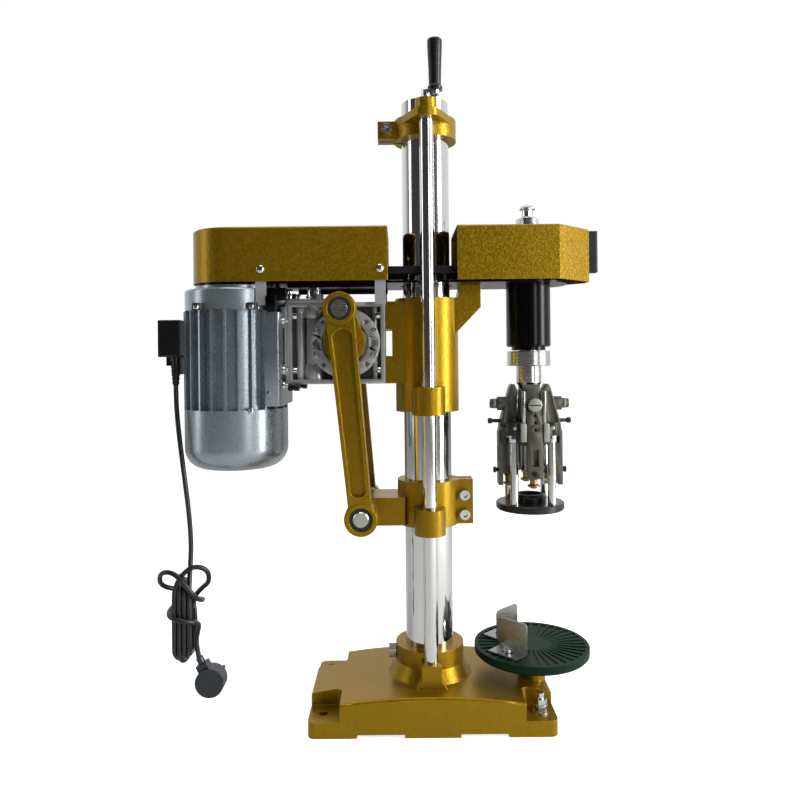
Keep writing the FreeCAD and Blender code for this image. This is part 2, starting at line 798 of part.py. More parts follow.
def handle_arm():
    """The crank arm: a hexagonal hub on the screw's end and an eye for the grip."""
    arm = Piece("handle_arm", "0", "-screw_offset", "handle_low")
    half = "handle_arm_width / 2"
    web_low = "handle_hub - handle_arm_thickness / 2"
    arm.add("XY", disc("0", "0", "handle_hub_diameter / 2"), "0", "handle_hub")
    arm.add("XY", box("0", "handle_throw", "-" + half, half), web_low, "handle_hub")
    arm.add("XY", disc("handle_throw", "0", half), web_low, "handle_hub")
    arm.cut("XY", disc("0", "0", "screw_end_diameter / 2 + running_gap"), "-1", "handle_hub + 1")
    arm.cut("XY", disc("handle_throw", "0", "grip_pin_diameter / 2 + running_gap"), "-1", "handle_hub + 1")


def grip_pin():
    """The grip's axle, with its nut under the arm and its head sunk in the grip's top."""
    spot = ("handle_throw", "-screw_offset")
    under = "handle_low + handle_hub - handle_arm_thickness / 2"
    top = "handle_low + handle_hub + grip_length"
    return fused(
        rod("+Z", (*spot, under), "grip_pin_diameter / 2", "handle_arm_thickness / 2 + grip_length - 2"),
        hexagon("-Z", (*spot, under), "9", "3.6"),
        rod("-Z", (*spot, top + " - 1"), "grip_pin_diameter / 2 + 1.5", "3"),
    )


def handle_grip():
    """The tapered hand grip, free to turn on its pin."""
    grip = Piece("handle_grip", "handle_throw", "-screw_offset", "handle_low + handle_hub + soft_gap")
    radius = "grip_diameter / 2"
    bore = "grip_pin_diameter / 2 + running_gap"
    top = "grip_length - soft_gap"
    grip.turned([(bore, "0"), (radius, "0"), (radius, "4"), (radius + " - 1.6", "6"),
                 (radius + " - 1.2", "grip_length * 0.4"), (radius, "grip_length * 0.85"),
                 (radius, top + " - 2.5", "3"), (radius + " - 2.5", top),
                 ("grip_pin_diameter / 2 + 2", top),
                 ("grip_pin_diameter / 2 + 2", top + " - 4.5"), (bore, top + " - 4.5")])


# The lower clamp and the links


def lower_clamp():
    """The split collar that the adjusting screw lifts; its arm carries the links' lower pivots."""
    clamp = Piece("lower_clamp", "0", "0", "clamp_low")
    clamp.add("XY", disc("0", "0", "clamp_diameter / 2"), "0", "clamp_height")
    clamp.add("XY",
              box("column_diameter / 2", "clamp_ear_reach", "-clamp_ear_width / 2", "clamp_ear_width / 2"),
              "0", "clamp_height")
    clamp.add("XY", box("-clamp_boss_diameter / 2", "clamp_boss_diameter / 2", "-screw_offset",
                        "-column_diameter / 2"),
              "-clamp_boss_drop", "clamp_boss_height - clamp_boss_drop")
    clamp.add("XY", disc("0", "-screw_offset", "clamp_boss_diameter / 2"),
              "-clamp_boss_drop", "clamp_boss_height - clamp_boss_drop")
    clamp.add("XY", box("-pivot_offset", "-column_diameter / 2", "-arm_depth / 2", "arm_depth / 2"),
              "pivot_rise - pivot_boss_diameter / 2 + 1.5", "pivot_rise + pivot_boss_diameter / 2 - 2")
    clamp.add("XZ", disc("-pivot_offset", "pivot_rise", "pivot_boss_diameter / 2"),
              "-pivot_boss_length / 2", "pivot_boss_length / 2")
    clamp.cut("XZ", disc("-pivot_offset", "pivot_rise", "pivot_pin_diameter / 2 + running_gap"),
              "-pivot_boss_length", "pivot_boss_length")
    clamp.cut("XY", disc("0", "0", "column_diameter / 2 + running_gap"), "-10", "clamp_height + 1")
    clamp.cut("XY", disc("0", "-screw_offset", "screw_diameter / 2 + running_gap"), "-10",
              "clamp_height + 1")
    clamp.cut("XY", box("0", "clamp_ear_reach + 1", "-clamp_slit / 2", "clamp_slit / 2"), "-1",
              "clamp_height + 1")
    for height in ("clamp_screw_low", "clamp_screw_high"):
        clamp.cut("XZ", disc("clamp_ear_screw_x", height, "clamp_screw_diameter / 2"),
                  "-clamp_ear_width", "clamp_ear_width")


def pivot_pin():
    """The through pin of both lower pivots, shouldered against the arm's boss."""
    pin = Piece("pivot_pin", "-pivot_offset", "0", "clamp_low + pivot_rise")
    half = "pivot_boss_length / 2"
    radius = "pivot_pin_diameter / 2"
    reach = "link_inner + link_thickness + 2"
    pin.turned([("0", "-(%s)" % reach), (radius + " - 1", "-(%s)" % reach), (radius, "-(%s) + 1" % reach),
                (radius, reach + " - 1"), (radius + " - 1", reach), ("0", reach)], "Y")
    for sign in ("", "-"):
        low = half if sign == "" else "-link_inner + side_gap"
        high = "link_inner - side_gap" if sign == "" else "-(%s)" % half
        pin.add("XZ", disc("0", "0", radius + " + 4"), low, high)


def link_turn():
    """The links' lean at rest, where pivot, output shaft and crank pin are in line."""
    lean = math.asin(value("(output_offset - pivot_offset) / (link_length - crank_radius)"))
    return FreeCAD.Rotation(FreeCAD.Vector(0, 1, 0), -math.degrees(lean))


def link(label, side):
    """A cast connecting rod: two bored eyes and a tapered web with a rib along each edge."""
    piece = Piece(label, "-pivot_offset", "0", "clamp_low + pivot_rise", link_turn())
    low = "-link_inner - link_thickness" if side < 0 else "link_inner"
    high = "-link_inner" if side < 0 else "link_inner + link_thickness"
    eye = "link_end_diameter / 2"
    foot = "link_width_bottom / 2"
    head = "link_width_top / 2"
    piece.add("XZ", [("-" + foot, "0"), (foot, "0"), (head, "link_length"), ("-" + head, "link_length")],
              low, high)
    for height in ("0", "link_length"):
        piece.add("XZ", disc("0", height, eye), low, high)
    recess = "(link_thickness - link_web) / 2"
    start = eye + " + 4"
    end = "link_length - link_end_diameter / 2 - 4"
    lower = foot + " - link_rib"
    upper = head + " - link_rib"
    shape = [("-(%s)" % lower, start + " + 8", "(%s) * 1.1" % lower), (lower, start + " + 8"),
             (upper, end + " - 8", "(%s) * 1.1" % upper), ("-(%s)" % upper, end + " - 8")]
    piece.cut("XZ", shape, low + " - 1", low + " + " + recess)
    piece.cut("XZ", shape, high + " - " + recess, high + " + 1")
    for height in ("0", "link_length"):
        piece.cut("XZ", disc("0", height, "link_bush_diameter / 2 + running_gap"), low + " - 1",
                  high + " + 1")
    return piece


def link_bushes():
    """The four bearing bushes in the links' eyes."""
    piece = Piece("link_bushes", "-pivot_offset", "0", "clamp_low + pivot_rise", link_turn())
    for side in ("-", ""):
        for height in ("0", "link_length"):
            low = "-link_inner - link_thickness - 0.5" if side == "-" else "link_inner"
            high = "-link_inner" if side == "-" else "link_inner + link_thickness + 0.5"
            ring = ["round", ("0", height, "link_bush_diameter / 2"),
                    ("0", height, "pivot_pin_diameter / 2 + running_gap")]
            piece.add("XZ", ring, low, high)


def crank_pins():
    """The crank pins' outer halves, which stay in the links' upper eyes."""
    piece = Piece("crank_pins", "-pivot_offset", "0", "clamp_low + pivot_rise", link_turn())
    for side in ("-", ""):
        low = "-link_inner - link_thickness - 2" if side == "-" else "link_inner"
        high = "-link_inner" if side == "-" else "link_inner + link_thickness + 2"
        piece.add("XZ", disc("0", "link_length", "pivot_pin_diameter / 2"), low, high)


def strip(change, plane, first, second, low, high, up=False):
    """A strip tangent to two rounds, each (place, radius), side by side or one above the other."""
    lean = "(((%s) - (%s)) / ((%s) - (%s)))" % (second[1], first[1], second[0], first[0])
    corners = []
    for (spot, radius), sign in ((first, "-"), (second, "-"), (second, ""), (first, "")):
        along = "%s - (%s) * %s" % (spot, radius, lean)
        aside = "%s(%s) * sqrt(1 - %s ^ 2)" % (sign, radius, lean)
        corners.append((aside, along) if up else (along, aside))
    change(plane, corners, low, high)
    for spot, radius in (first, second):
        change(plane, disc("0", spot, radius) if up else disc(spot, "0", radius), low, high)


# The crank and its gearbox

LINK_RISE = "sqrt((link_length - crank_radius) ^ 2 - (output_offset - pivot_offset) ^ 2)"
CARRIAGE = "clamp_low + pivot_rise + " + LINK_RISE
DECK = CARRIAGE + " + deck_rise"
WORM = "-output_offset - worm_offset"


def output_shaft():
    """The gearbox's hollow output hub and its shaft, which carries a crank arm at each end."""
    shaft = Piece("output_shaft", "-output_offset", "0", CARRIAGE, link_turn())
    reach = "(crank_inner + crank_thickness)"
    hub = "(gearbox_half_width - 2)"
    radius = "output_diameter / 2"
    wide = "crank_hub_diameter / 2"
    shaft.turned([("0", "-" + reach), (radius, "-" + reach), (radius, "-" + hub), (wide, "-" + hub),
                  (wide, hub), (radius, hub), (radius, reach), ("0", reach)], "Y")


def crank_arms():
    """Both crank arms, clamped on the output shaft, with the inner halves of the crank pins."""
    arms = Piece("crank_arms", "-output_offset", "0", CARRIAGE, link_turn())
    outer = "(crank_inner + crank_thickness)"
    hub = ("0", "crank_hub_diameter / 2")
    end = ("crank_radius", "crank_end_diameter / 2")
    for low, high in (("-" + outer, "-crank_inner"), ("crank_inner", outer)):
        strip(arms.add, "XZ", hub, end, low, high, up=True)
    for low, high in (("-link_inner + side_gap", "-" + outer), (outer, "link_inner - side_gap")):
        arms.add("XZ", disc("0", "crank_radius", "crank_pin_diameter / 2"), low, high)
    arms.cut("XZ", disc("0", "0", "output_diameter / 2 + running_gap"), "-" + outer + " - 1",
             outer + " + 1")


def gearbox_housing():
    """The worm gearbox: a block with a round face at front and back and the worm's boss on top."""
    housing = Piece("gearbox_housing", "-output_offset", "0", CARRIAGE)
    half = "gearbox_depth / 2"
    housing.add("XZ", box("-gearbox_left", "gearbox_right", "-gearbox_low", "gearbox_high"), "-" + half,
                half)
    corners = value("gearbox_depth")
    housing.soften("Fillet", "gearbox_corner", lambda edge: near(edge.BoundBox.YLength, corners))
    housing.add("XZ", disc("0", "0", "gearbox_face_diameter / 2"), "-gearbox_half_width",
                "gearbox_half_width")
    housing.add("XY", disc("-worm_offset", "0", "worm_boss_diameter / 2"), "gearbox_high - 2",
                "gearbox_high + worm_boss_height")
    housing.cut("XZ", disc("0", "0", "gearbox_bore / 2"), "-gearbox_half_width - 1",
                "gearbox_half_width + 1")
    housing.cut("XY", disc("-worm_offset", "0", "worm_diameter / 2 + 1"), "-worm_length / 2 - 4",
                "worm_length / 2 + 4")
    housing.cut("XY", disc("-worm_offset", "0", "worm_shaft_diameter / 2 + running_gap"),
                "-worm_length / 2 - 14",
                "gearbox_high + worm_boss_height + 1")
    hole = housing.cut("XZ",
                       disc("gearbox_bolt_circle / 2", "0", "gearbox_bolt_diameter / 2 + running_gap"),
                       "-gearbox_half_width - 1", "gearbox_half_width + 1")
    housing.ring_of(hole, "gearbox_bolt_count", "Y")


def gearbox_bolts():
    """The round faces' button-head bolts, front and back."""
    bolts = []
    count = int(value("gearbox_bolt_count"))
    for index in range(count):
        angle = "(%d * 360 deg / gearbox_bolt_count)" % index
        across = "-output_offset + gearbox_bolt_circle / 2 * cos%s" % angle
        up = CARRIAGE + " + gearbox_bolt_circle / 2 * sin%s" % angle
        for direction, sign in (("-Y", "-"), ("+Y", "")):
            inner = rod(direction, (across, sign + "(gearbox_half_width - 12)", up),
                        "gearbox_bolt_diameter / 2", "12")
            head = rod(direction, (across, sign + "gearbox_half_width", up), "gearbox_bolt_diameter * 0.9",
                       "2.4")
            bolts.append(fused(inner, head))
    return bolts


def worm_input():
    """The worm with its upright shaft and the large pulley above the deck."""
    worm = Piece("worm_input", WORM, "0", CARRIAGE)
    shaft = "worm_shaft_diameter / 2"
    body = "worm_diameter / 2"
    middle = "(deck_rise + gear_belt_rise)"
    profile = [("0", "-worm_length / 2 - 12"), (shaft, "-worm_length / 2 - 12"),
               (shaft, "-worm_length / 2"),
               (body, "-worm_length / 2"), (body, "worm_length / 2"), (shaft, "worm_length / 2")]
    profile += pulley_steps(shaft, "gear_belt_large", middle)
    profile += [(shaft, middle + " + belt_width / 2 + 7"), ("0", middle + " + belt_width / 2 + 7")]
    worm.turned(profile)


def pulley_steps(shaft, pitch, middle):
    """The outline of a flanged pulley on a shaft, from its lower face to its upper one."""
    rim = pitch + " - belt_depth / 2 - soft_gap"
    lip = rim + " + flange_lip"
    inner = "(belt_width / 2 + side_gap)"
    outer = "(belt_width / 2 + side_gap + flange_height)"
    return [(shaft, "%s - %s" % (middle, outer)), (lip, "%s - %s" % (middle, outer)),
            (lip, "%s - %s" % (middle, inner)), (rim, "%s - %s" % (middle, inner)),
            (rim, "%s + %s" % (middle, inner)), (lip, "%s + %s" % (middle, inner)),
            (lip, "%s + %s" % (middle, outer)), (shaft, "%s + %s" % (middle, outer))]


# The carriage


def carriage_casting():
    """The sleeve on the column, with the gearbox's lugs at its left and the deck's arm at its right."""
    casting = Piece("carriage_casting", "0", "0", CARRIAGE)
    reach = "output_offset - gearbox_right"
    half = "lug_width / 2"
    casting.add("XY", disc("0", "0", "sleeve_diameter / 2"), "-sleeve_low", "sleeve_high")
    casting.add("XZ", box("-(%s)" % reach, "0", "-gearbox_low", "gearbox_high"), "-" + half, half)
    casting.add("XZ",
                [("column_diameter / 2", "7.5"), ("arm_pad_left - 4", "13.5"), ("arm_pad_right", "43.5"),
                       ("arm_pad_right", "deck_rise - deck_sheet"),
                       ("arm_pad_left", "deck_rise - deck_sheet"),
                       ("arm_pad_left - 4", "sleeve_high"), ("column_diameter / 2", "sleeve_high")],
                "-arm_half_width", "arm_half_width")
    for shape in (disc("0", "-screw_offset", "rod_boss_diameter / 2"),
                  box("-rod_boss_diameter / 2", "rod_boss_diameter / 2", "-screw_offset",
                      "-sleeve_diameter / 4")):
        casting.add("XY", shape, "-rod_boss_low", "-rod_boss_low + rod_boss_height")
    casting.cut("XZ", box("-(%s) - 1" % reach, "-lug_web", "-lug_gap / 2", "lug_gap / 2"),
                "-" + half + " - 1",
                half + " + 1")
    casting.cut("XY", disc("0", "0", "column_diameter / 2 + running_gap"), "-rod_boss_low - 1",
                "sleeve_high + 1")
    casting.cut("XY", disc("0", "-screw_offset", "screw_diameter / 2 + side_gap"), "-rod_boss_low - 1",
                "sleeve_high + 1")


def deck_plate():
    """The folded plate that joins motor, gearbox, carriage and head."""
    deck = Piece("deck_plate", "0", "0", DECK)
    half = "deck_half_width"
    strip(deck.add, "XY", ("-motor_offset", half), ("head_offset", half), "-deck_sheet", "0")
    for low, high in (("-deck_half_width", "-deck_half_width + deck_sheet"),
                      ("deck_half_width - deck_sheet", "deck_half_width")):
        deck.add("XY", box("-deck_flange_left", "-deck_flange_right", low, high), "-deck_flange", "-1")
    deck.cut("XY", disc("0", "0", "deck_column_hole / 2"), "-deck_sheet - 1", "1")
    deck.cut("XY", box("-screw_diameter / 2 - 2", "screw_diameter / 2 + 2", "-deck_half_width - 1",
                       "-column_diameter / 2"),
             "-deck_sheet - 1", "1")
    for across in ("-motor_offset", WORM):
        deck.cut("XY", disc(across, "0", "deck_shaft_hole / 2"), "-deck_sheet - 1", "1")
    deck.cut("XY", disc("head_offset", "0", "housing_spigot / 2 + running_gap"), "-deck_sheet - 1", "1")


def left_cover():
    """The sheet cover over the motor's pulleys: round at the motor, open at the column and below."""
    cover = Piece("left_cover", "0", "0", DECK)
    half = "cover_half_width"
    inner = "(cover_half_width - cover_sheet)"
    cover.add("XY", disc("-motor_offset", "0", half), "0", "cover_height")
    cover.add("XY", box("-motor_offset", "-left_cover_end", "-" + half, half), "0", "cover_height")
    top = value("cover_height")
    end = value("-left_cover_end")
    cover.soften("Fillet", "cover_edge",
                 lambda edge: near(edge.BoundBox.ZMin, top) and edge.BoundBox.XMin < end - 1)
    cover.cut("XY", disc("-motor_offset", "0", inner), "-1", "cover_height - cover_sheet")
    cover.cut("XY", box("-motor_offset", "-left_cover_end + 1", "-" + inner, inner), "-1",
              "cover_height - cover_sheet")
    for across in ("-strap_left", "-strap_right"):
        cover.cut("XZ", disc(across, "cover_screw_rise", "2.6"), "-60", "60")


def right_cover():
    """The sheet cover over the head's pulley: open at the column and below, with chamfered corners."""
    cover = Piece("right_cover", "0", "0", DECK)

    def outline(inset, open_end):
        bend = "(right_cover_bend - %s * 0.4)" % inset
        side = "(cover_half_width - %s)" % inset
        nose = "(right_cover_nose - %s * 0.44)" % inset
        far = "(right_cover_end - %s)" % inset
        return [(open_end, "-" + side), (bend, "-" + side), (far, "-" + nose), (far, nose), (bend, side),
                (open_end, side)]
    cover.add("XY", outline("0", "right_cover_start"), "0", "cover_height")
    top = value("cover_height")
    end = value("right_cover_start")
    cover.soften("Fillet", "cover_edge",
                 lambda edge: near(edge.BoundBox.ZMin, top) and edge.BoundBox.XMax > end + 1)
    cover.cut("XY", outline("cover_sheet", "right_cover_start - 1"), "-1", "cover_height - cover_sheet")
    cover.cut("XY", disc("head_offset", "0", "cap_hole / 2"), "cover_height - cover_sheet - 1",
              "cover_height + 1")


def end_pad():
    """The rubber buffer on the right cover's nose."""
    pad = Piece("end_pad", "right_cover_end", "0", DECK)
    pad.add("XY", box("0", "pad_length", "-pad_width / 2", "pad_width / 2"), "pad_low",
            "pad_low + pad_height")
    length = value("pad_length")
    pad.soften("Fillet", "3", lambda edge: upright(edge) and near(edge.BoundBox.XMin, length))


def cover_straps():
    """The four strips that hold the left cover to the deck's edges."""
    straps = Piece("cover_straps", "0", "0", DECK)
    for middle in ("strap_left", "strap_right"):
        for low, high in (("-deck_half_width - strap_sheet", "-deck_half_width"),
                          ("deck_half_width", "deck_half_width + strap_sheet")):
            straps.add("XZ", box("-%s - strap_width / 2" % middle, "-%s + strap_width / 2" % middle,
                                 "-strap_drop",
                                 "strap_top"), low, high)
        straps.cut("XZ", disc("-" + middle, "cover_screw_rise", "2.6"), "-60", "60")


def deck_fasteners():
    """The left cover's pan-head screws and the ring nut that holds the spindle housing to the deck."""
    pieces = []
    height = DECK + " + cover_screw_rise"
    for middle in ("-strap_left", "-strap_right"):
        for direction, sign in (("-Y", "-"), ("+Y", "")):
            head = rod(direction, (middle, sign + "cover_half_width", height), "5.5", "3")
            shank = rod(direction, (middle, sign + "(cover_half_width - 6)", height), "2.5", "6")
            pieces.append(fused(head, shank))
    ring = rod("+Z", ("head_offset", "0", DECK), "housing_nut_diameter / 2", "housing_nut_height")
    hole = rod("+Z", ("head_offset", "0", DECK), "housing_spigot / 2 + running_gap", "housing_nut_height")
    pieces.append(without(ring, hole))
    return pieces


# The motor


def motor_frame():
    """The motor's finned body, with the flat on its left for the switch box."""
    frame = Piece("motor_frame", "-motor_offset", "0", CARRIAGE)
    frame.add("XY", disc("0", "0", "motor_diameter / 2"), "-motor_low", "motor_high")
    half = "motor_fin_thickness / 2"
    fin = frame.add("XY", box("motor_diameter / 2 - 2", "fan_cover_diameter / 2", "-" + half, half),
                    "-motor_low",
                    "motor_high")
    frame.ring_of(fin, "motor_fin_count")
    frame.add("XY", box("-terminal_pad_left", "-motor_diameter / 2 + 8", "-terminal_pad_half_width",
                        "terminal_pad_half_width"), "-switch_low + 2", "switch_high - 2")


def motor_bell():
    """The motor's upper end shield, with a raised register under the deck."""
    bell = Piece("motor_bell", "-motor_offset", "0", CARRIAGE)
    top = "motor_high + motor_bell_height"
    radius = "motor_bell_diameter / 2"
    bore = "motor_shaft_diameter / 2 + running_gap"
    bell.turned([(bore, "motor_high"), (radius, "motor_high"), (radius, top + " - 4", "4"),
                 (radius + " - 4", top),
                 ("motor_register / 2", top), ("motor_register / 2", "deck_rise - deck_sheet"),
                 (bore, "deck_rise - deck_sheet")])
    left = "motor_offset - strap_left - strap_width / 2 - 1"
    right = "motor_offset - strap_left + strap_width / 2 + 1"
    low = "deck_rise - strap_drop - 1"
    for near_side, far_side in (("-motor_bell_diameter", "-deck_half_width + side_gap"),
                                ("deck_half_width - side_gap", "motor_bell_diameter")):
        bell.cut("XY", box(left, right, near_side, far_side), low, "deck_rise")


def fan_cover():
    """The domed cover over the fan at the motor's lower end."""
    cover = Piece("fan_cover", "-motor_offset", "0", CARRIAGE)
    radius = "fan_cover_diameter / 2"
    cover.turned([("0", "-fan_cover_low"),
                  (radius + " - fan_cover_round", "-fan_cover_low", "fan_cover_round"),
                  (radius, "-fan_cover_low + fan_cover_round"), (radius, "-motor_low"),
                  ("0", "-motor_low")])


def motor_rotor():
    """The motor's shaft with the head belt's pulley and the gearbox belt's small pulley."""
    rotor = Piece("motor_rotor", "-motor_offset", "0", DECK)
    shaft = "motor_shaft_diameter / 2"
    profile = [("0", "-deck_rise + motor_high + 1"), (shaft, "-deck_rise + motor_high + 1")]
    profile += pulley_steps(shaft, "belt_radius", "head_belt_rise")
    profile += pulley_steps(shaft, "gear_belt_small", "gear_belt_rise")
    profile += [(shaft, "gear_belt_rise + belt_width / 2 + 7"),
                ("0", "gear_belt_rise + belt_width / 2 + 7")]
    rotor.turned(profile)


def belt(label, first, second, rise):
    """A flat belt round two pulleys, each one (place, pitch radius)."""
    loop = Piece(label, "0", "0", DECK)
    low = rise + " - belt_width / 2"
    high = rise + " + belt_width / 2"
    strip(loop.add, "XY", (first[0], first[1] + " + belt_depth / 2"),
          (second[0], second[1] + " + belt_depth / 2"),
          low, high)
    strip(loop.cut, "XY", (first[0], first[1] + " - belt_depth / 2"),
          (second[0], second[1] + " - belt_depth / 2"),
          low + " - 1", high + " + 1")


# The capping head

QUARTERS = (("right", 0), ("rear", 90), ("left", 180), ("front", 270))
HUB_TOP = "(deck_sheet + housing_length + housing_neck_length + hub_gap)"
GUIDE_TOP = "(carrier_top + carrier_thickness + post_length)"


def spindle_housing():
    """The black bearing housing that hangs from the deck."""
    housing = Piece("spindle_housing", "head_offset", "0", DECK)
    bore = "bearing_diameter / 2 + running_gap"
    low = "-(deck_sheet + housing_length)"
    foot = "-(deck_sheet + housing_length + housing_neck_length)"
    housing.turned([(bore, foot), ("housing_neck / 2", foot), ("housing_neck / 2", low),
                    ("housing_diameter / 2 - 2", low), ("housing_diameter / 2", low + " + 2"),
                    ("housing_diameter / 2", "-deck_sheet"), ("housing_spigot / 2", "-deck_sheet"),
                    ("housing_spigot / 2", "housing_nut_height + 1"), (bore, "housing_nut_height + 1")])


def spindle_bearings():
    """The two bearings between housing and spindle."""
    bearings = Piece("spindle_bearings", "head_offset", "0", DECK)
    foot = "-(deck_sheet + housing_length + housing_neck_length)"
    ring = ["round", ("0", "0", "bearing_diameter / 2"), ("0", "0", "spindle_diameter / 2 + running_gap")]
    bearings.add("XY", ring, foot + " + 1", foot + " + 1 + bearing_length")
    bearings.add("XY", ring, "housing_nut_height - bearing_length", "housing_nut_height")


def spindle():
    """The head's spindle: its bright hub under the housing, its nose below and its threaded tip on top."""
    shaft = Piece("spindle", "head_offset", "0", DECK)
    radius = "spindle_diameter / 2"
    nose = "spindle_nose_diameter / 2"
    tip = "spindle_tip_diameter / 2"
    low = "-(carrier_top + 3)"
    hub_low = "-%s - hub_height" % HUB_TOP
    wide = "hub_diameter / 2"
    shaft.turned([("0", low), (nose, low), (nose, hub_low), (wide + " - 1", hub_low),
                  (wide, hub_low + " + 1"),
                  (wide, "-%s - 1" % HUB_TOP), (wide + " - 1", "-" + HUB_TOP), (radius, "-" + HUB_TOP),
                  (radius, "spindle_top"), (tip, "spindle_top"), (tip, "cover_height + side_gap"),
                  ("0", "cover_height + side_gap")])


def head_pulley():
    """The driven pulley on the spindle."""
    pulley = Piece("head_pulley", "head_offset", "0", DECK)
    bore = "spindle_diameter / 2 + running_gap"
    pulley.turned(pulley_steps(bore, "belt_radius", "head_belt_rise"))


def spindle_cap():
    """The domed nut that closes the spindle's top."""
    cap = Piece("spindle_cap", "head_offset", "0", DECK)
    low = "(cover_height + side_gap)"
    neck = "cap_neck_diameter / 2"
    dome = "cap_diameter / 2"
    cap.turned([("0", low), (neck, low), (neck, low + " + cap_neck_length"),
                (dome, low + " + cap_neck_length"),
                (dome, low + " + cap_neck_length + 6", dome),
                ("0", low + " + cap_neck_length + 6 + cap_diameter / 2")])


def cone_sleeve():
    """The sliding cone that spreads the levers' upper ends."""
    cone = Piece("cone_sleeve", "head_offset", "0", DECK)
    bore = "spindle_nose_diameter / 2 + running_gap"
    top = "-(%s + hub_height + cone_gap)" % HUB_TOP
    cone.turned([(bore, top), (bore, top + " - cone_length - cone_nose"),
                 ("cone_tip_diameter / 2", top + " - cone_length - cone_nose"),
                 ("cone_diameter / 2", top + " - cone_length"), ("cone_diameter / 2", top)])


def head_carrier():
    """The slotted ring at the spindle's end that carries the levers' pins and the guide's posts."""
    carrier = Piece("head_carrier", "head_offset", "0", DECK)
    top = "-carrier_top"
    low = "-(carrier_top + carrier_thickness)"
    aside = "post_circle / 2 * sqrt(0.5)"
    carrier.add("XY", disc("0", "0", "carrier_diameter / 2"), low, top)
    carrier.cut("XY", disc("0", "0", "spindle_nose_diameter / 2 + running_gap"), "-carrier_top - 3.2",
                top + " + 1")
    carrier.cut("XY", disc("0", "0", "block_diameter / 2 + running_gap + 0.1"), low + " - 1",
                low + " + block_travel + 1")
    carrier.cut("XY", disc("0", "0", "block_stem_diameter / 2 + running_gap"), low, "-carrier_top - 4")
    slot = carrier.cut("XY",
                       box("slot_inner", "carrier_diameter / 2 + 1", "-lever_slot / 2", "lever_slot / 2"),
                       low + " - 1", top + " + 1")
    carrier.ring_of(slot, "4")
    seat = carrier.cut("XY", disc(aside, aside, "post_diameter / 2 + running_gap"), low + " - 1",
                       low + " + post_seat")
    carrier.ring_of(seat, "4")
    pin = carrier.cut("XZ", disc("lever_pivot_radius", "-lever_pivot_drop",
                                 "lever_pin_diameter / 2 + running_gap"),
                      "-lever_pin_length / 2", "lever_pin_length / 2")
    carrier.ring_of(pin, "4")


def guide_posts():
    """The four posts that carry the guide ring."""
    posts = Piece("guide_posts", "head_offset", "0", DECK)
    aside = "post_circle / 2 * sqrt(0.5)"
    post = posts.add("XY", disc(aside, aside, "post_diameter / 2"), "-" + GUIDE_TOP,
                     "-(carrier_top + carrier_thickness) + post_seat")
    posts.ring_of(post, "4")


def guide_ring():
    """The ring that centres the bottle's cap, with a raised collar round its bore."""
    ring = Piece("guide_ring", "head_offset", "0", DECK)
    low = "-(%s + guide_thickness)" % GUIDE_TOP
    top = "-" + GUIDE_TOP
    bore = "guide_bore / 2"
    collar = "guide_collar_diameter / 2"
    edge = "guide_diameter / 2"
    ring.turned([(bore + " + 2", low), (edge + " - 1.5", low), (edge, low + " + 1.5"), (edge, top + " - 1"),
                 (edge + " - 1", top), (collar, top), (collar, top + " + guide_collar_height - 3"),
                 (collar + " - 3", top + " + guide_collar_height"), (bore, top + " + guide_collar_height"),
                 (bore, low + " + 2")])


def lever_pins():
    """The four pins that the levers swing on."""
    pins = Piece("lever_pins", "head_offset", "0", DECK)
    pin = pins.add("XZ", disc("lever_pivot_radius", "-lever_pivot_drop", "lever_pin_diameter / 2"),
                   "-lever_pin_length / 2", "lever_pin_length / 2")
    pins.ring_of(pin, "4")


def lever(side, angle):
    """One capping lever: its upper end meets the cone and its lower end carries a roller."""
    turn = FreeCAD.Rotation(FreeCAD.Vector(0, 0, 1), angle)
    arm = Piece("lever_" + side, "head_offset", "0", DECK, turn)
    pivot = "-lever_pivot_drop"
    corners = [("15.5", "lever_apex - 9"), ("20", "13"), ("22", "-5"), ("28", "-11"),
               ("28", "-lever_foot + 12"),
               ("20", "-lever_foot + 6"), ("20", "-lever_foot"), ("35", "-lever_foot"),
               ("35", "-lever_tip"),
               ("40.5", "-lever_tip"), ("40.5", "3"), ("38.7", "8"), ("38.7", "13"),
               ("26", "lever_apex - 5"),
               ("23.5", "lever_apex"), ("19.5", "lever_apex")]
    shape = [(across, pivot + " + " + up) for across, up in corners]
    arm.add("XZ", shape, "-lever_width / 2", "lever_width / 2")
    bolt = pivot + " + lever_bolt_rise"
    arm.add("YZ", disc("0", bolt, "lever_boss_diameter / 2"), "lever_pivot_radius", "lever_bolt_reach")
    arm.add("YZ", disc("0", bolt, "lever_bolt_diameter / 2"), "lever_bolt_reach",
            "lever_bolt_reach + lever_bolt_head")
    stop = pivot + " + stop_screw_rise"
    arm.add("YZ", disc("0", stop, "stop_screw_diameter / 2"), "lever_pivot_radius", "stop_screw_reach")
    arm.add("YZ", disc("0", stop, "stop_screw_diameter * 0.7"), "stop_screw_reach - 6", "stop_screw_reach")
    arm.add("XY", disc("roller_circle / 2", "0", "roller_pin_diameter / 2"),
            "%s - lever_foot - roller_length - 1" % pivot, pivot + " - lever_foot + 1")
    arm.cut("XZ", disc("lever_pivot_radius", pivot, "lever_pin_diameter / 2 + running_gap"), "-lever_width",
            "lever_width")


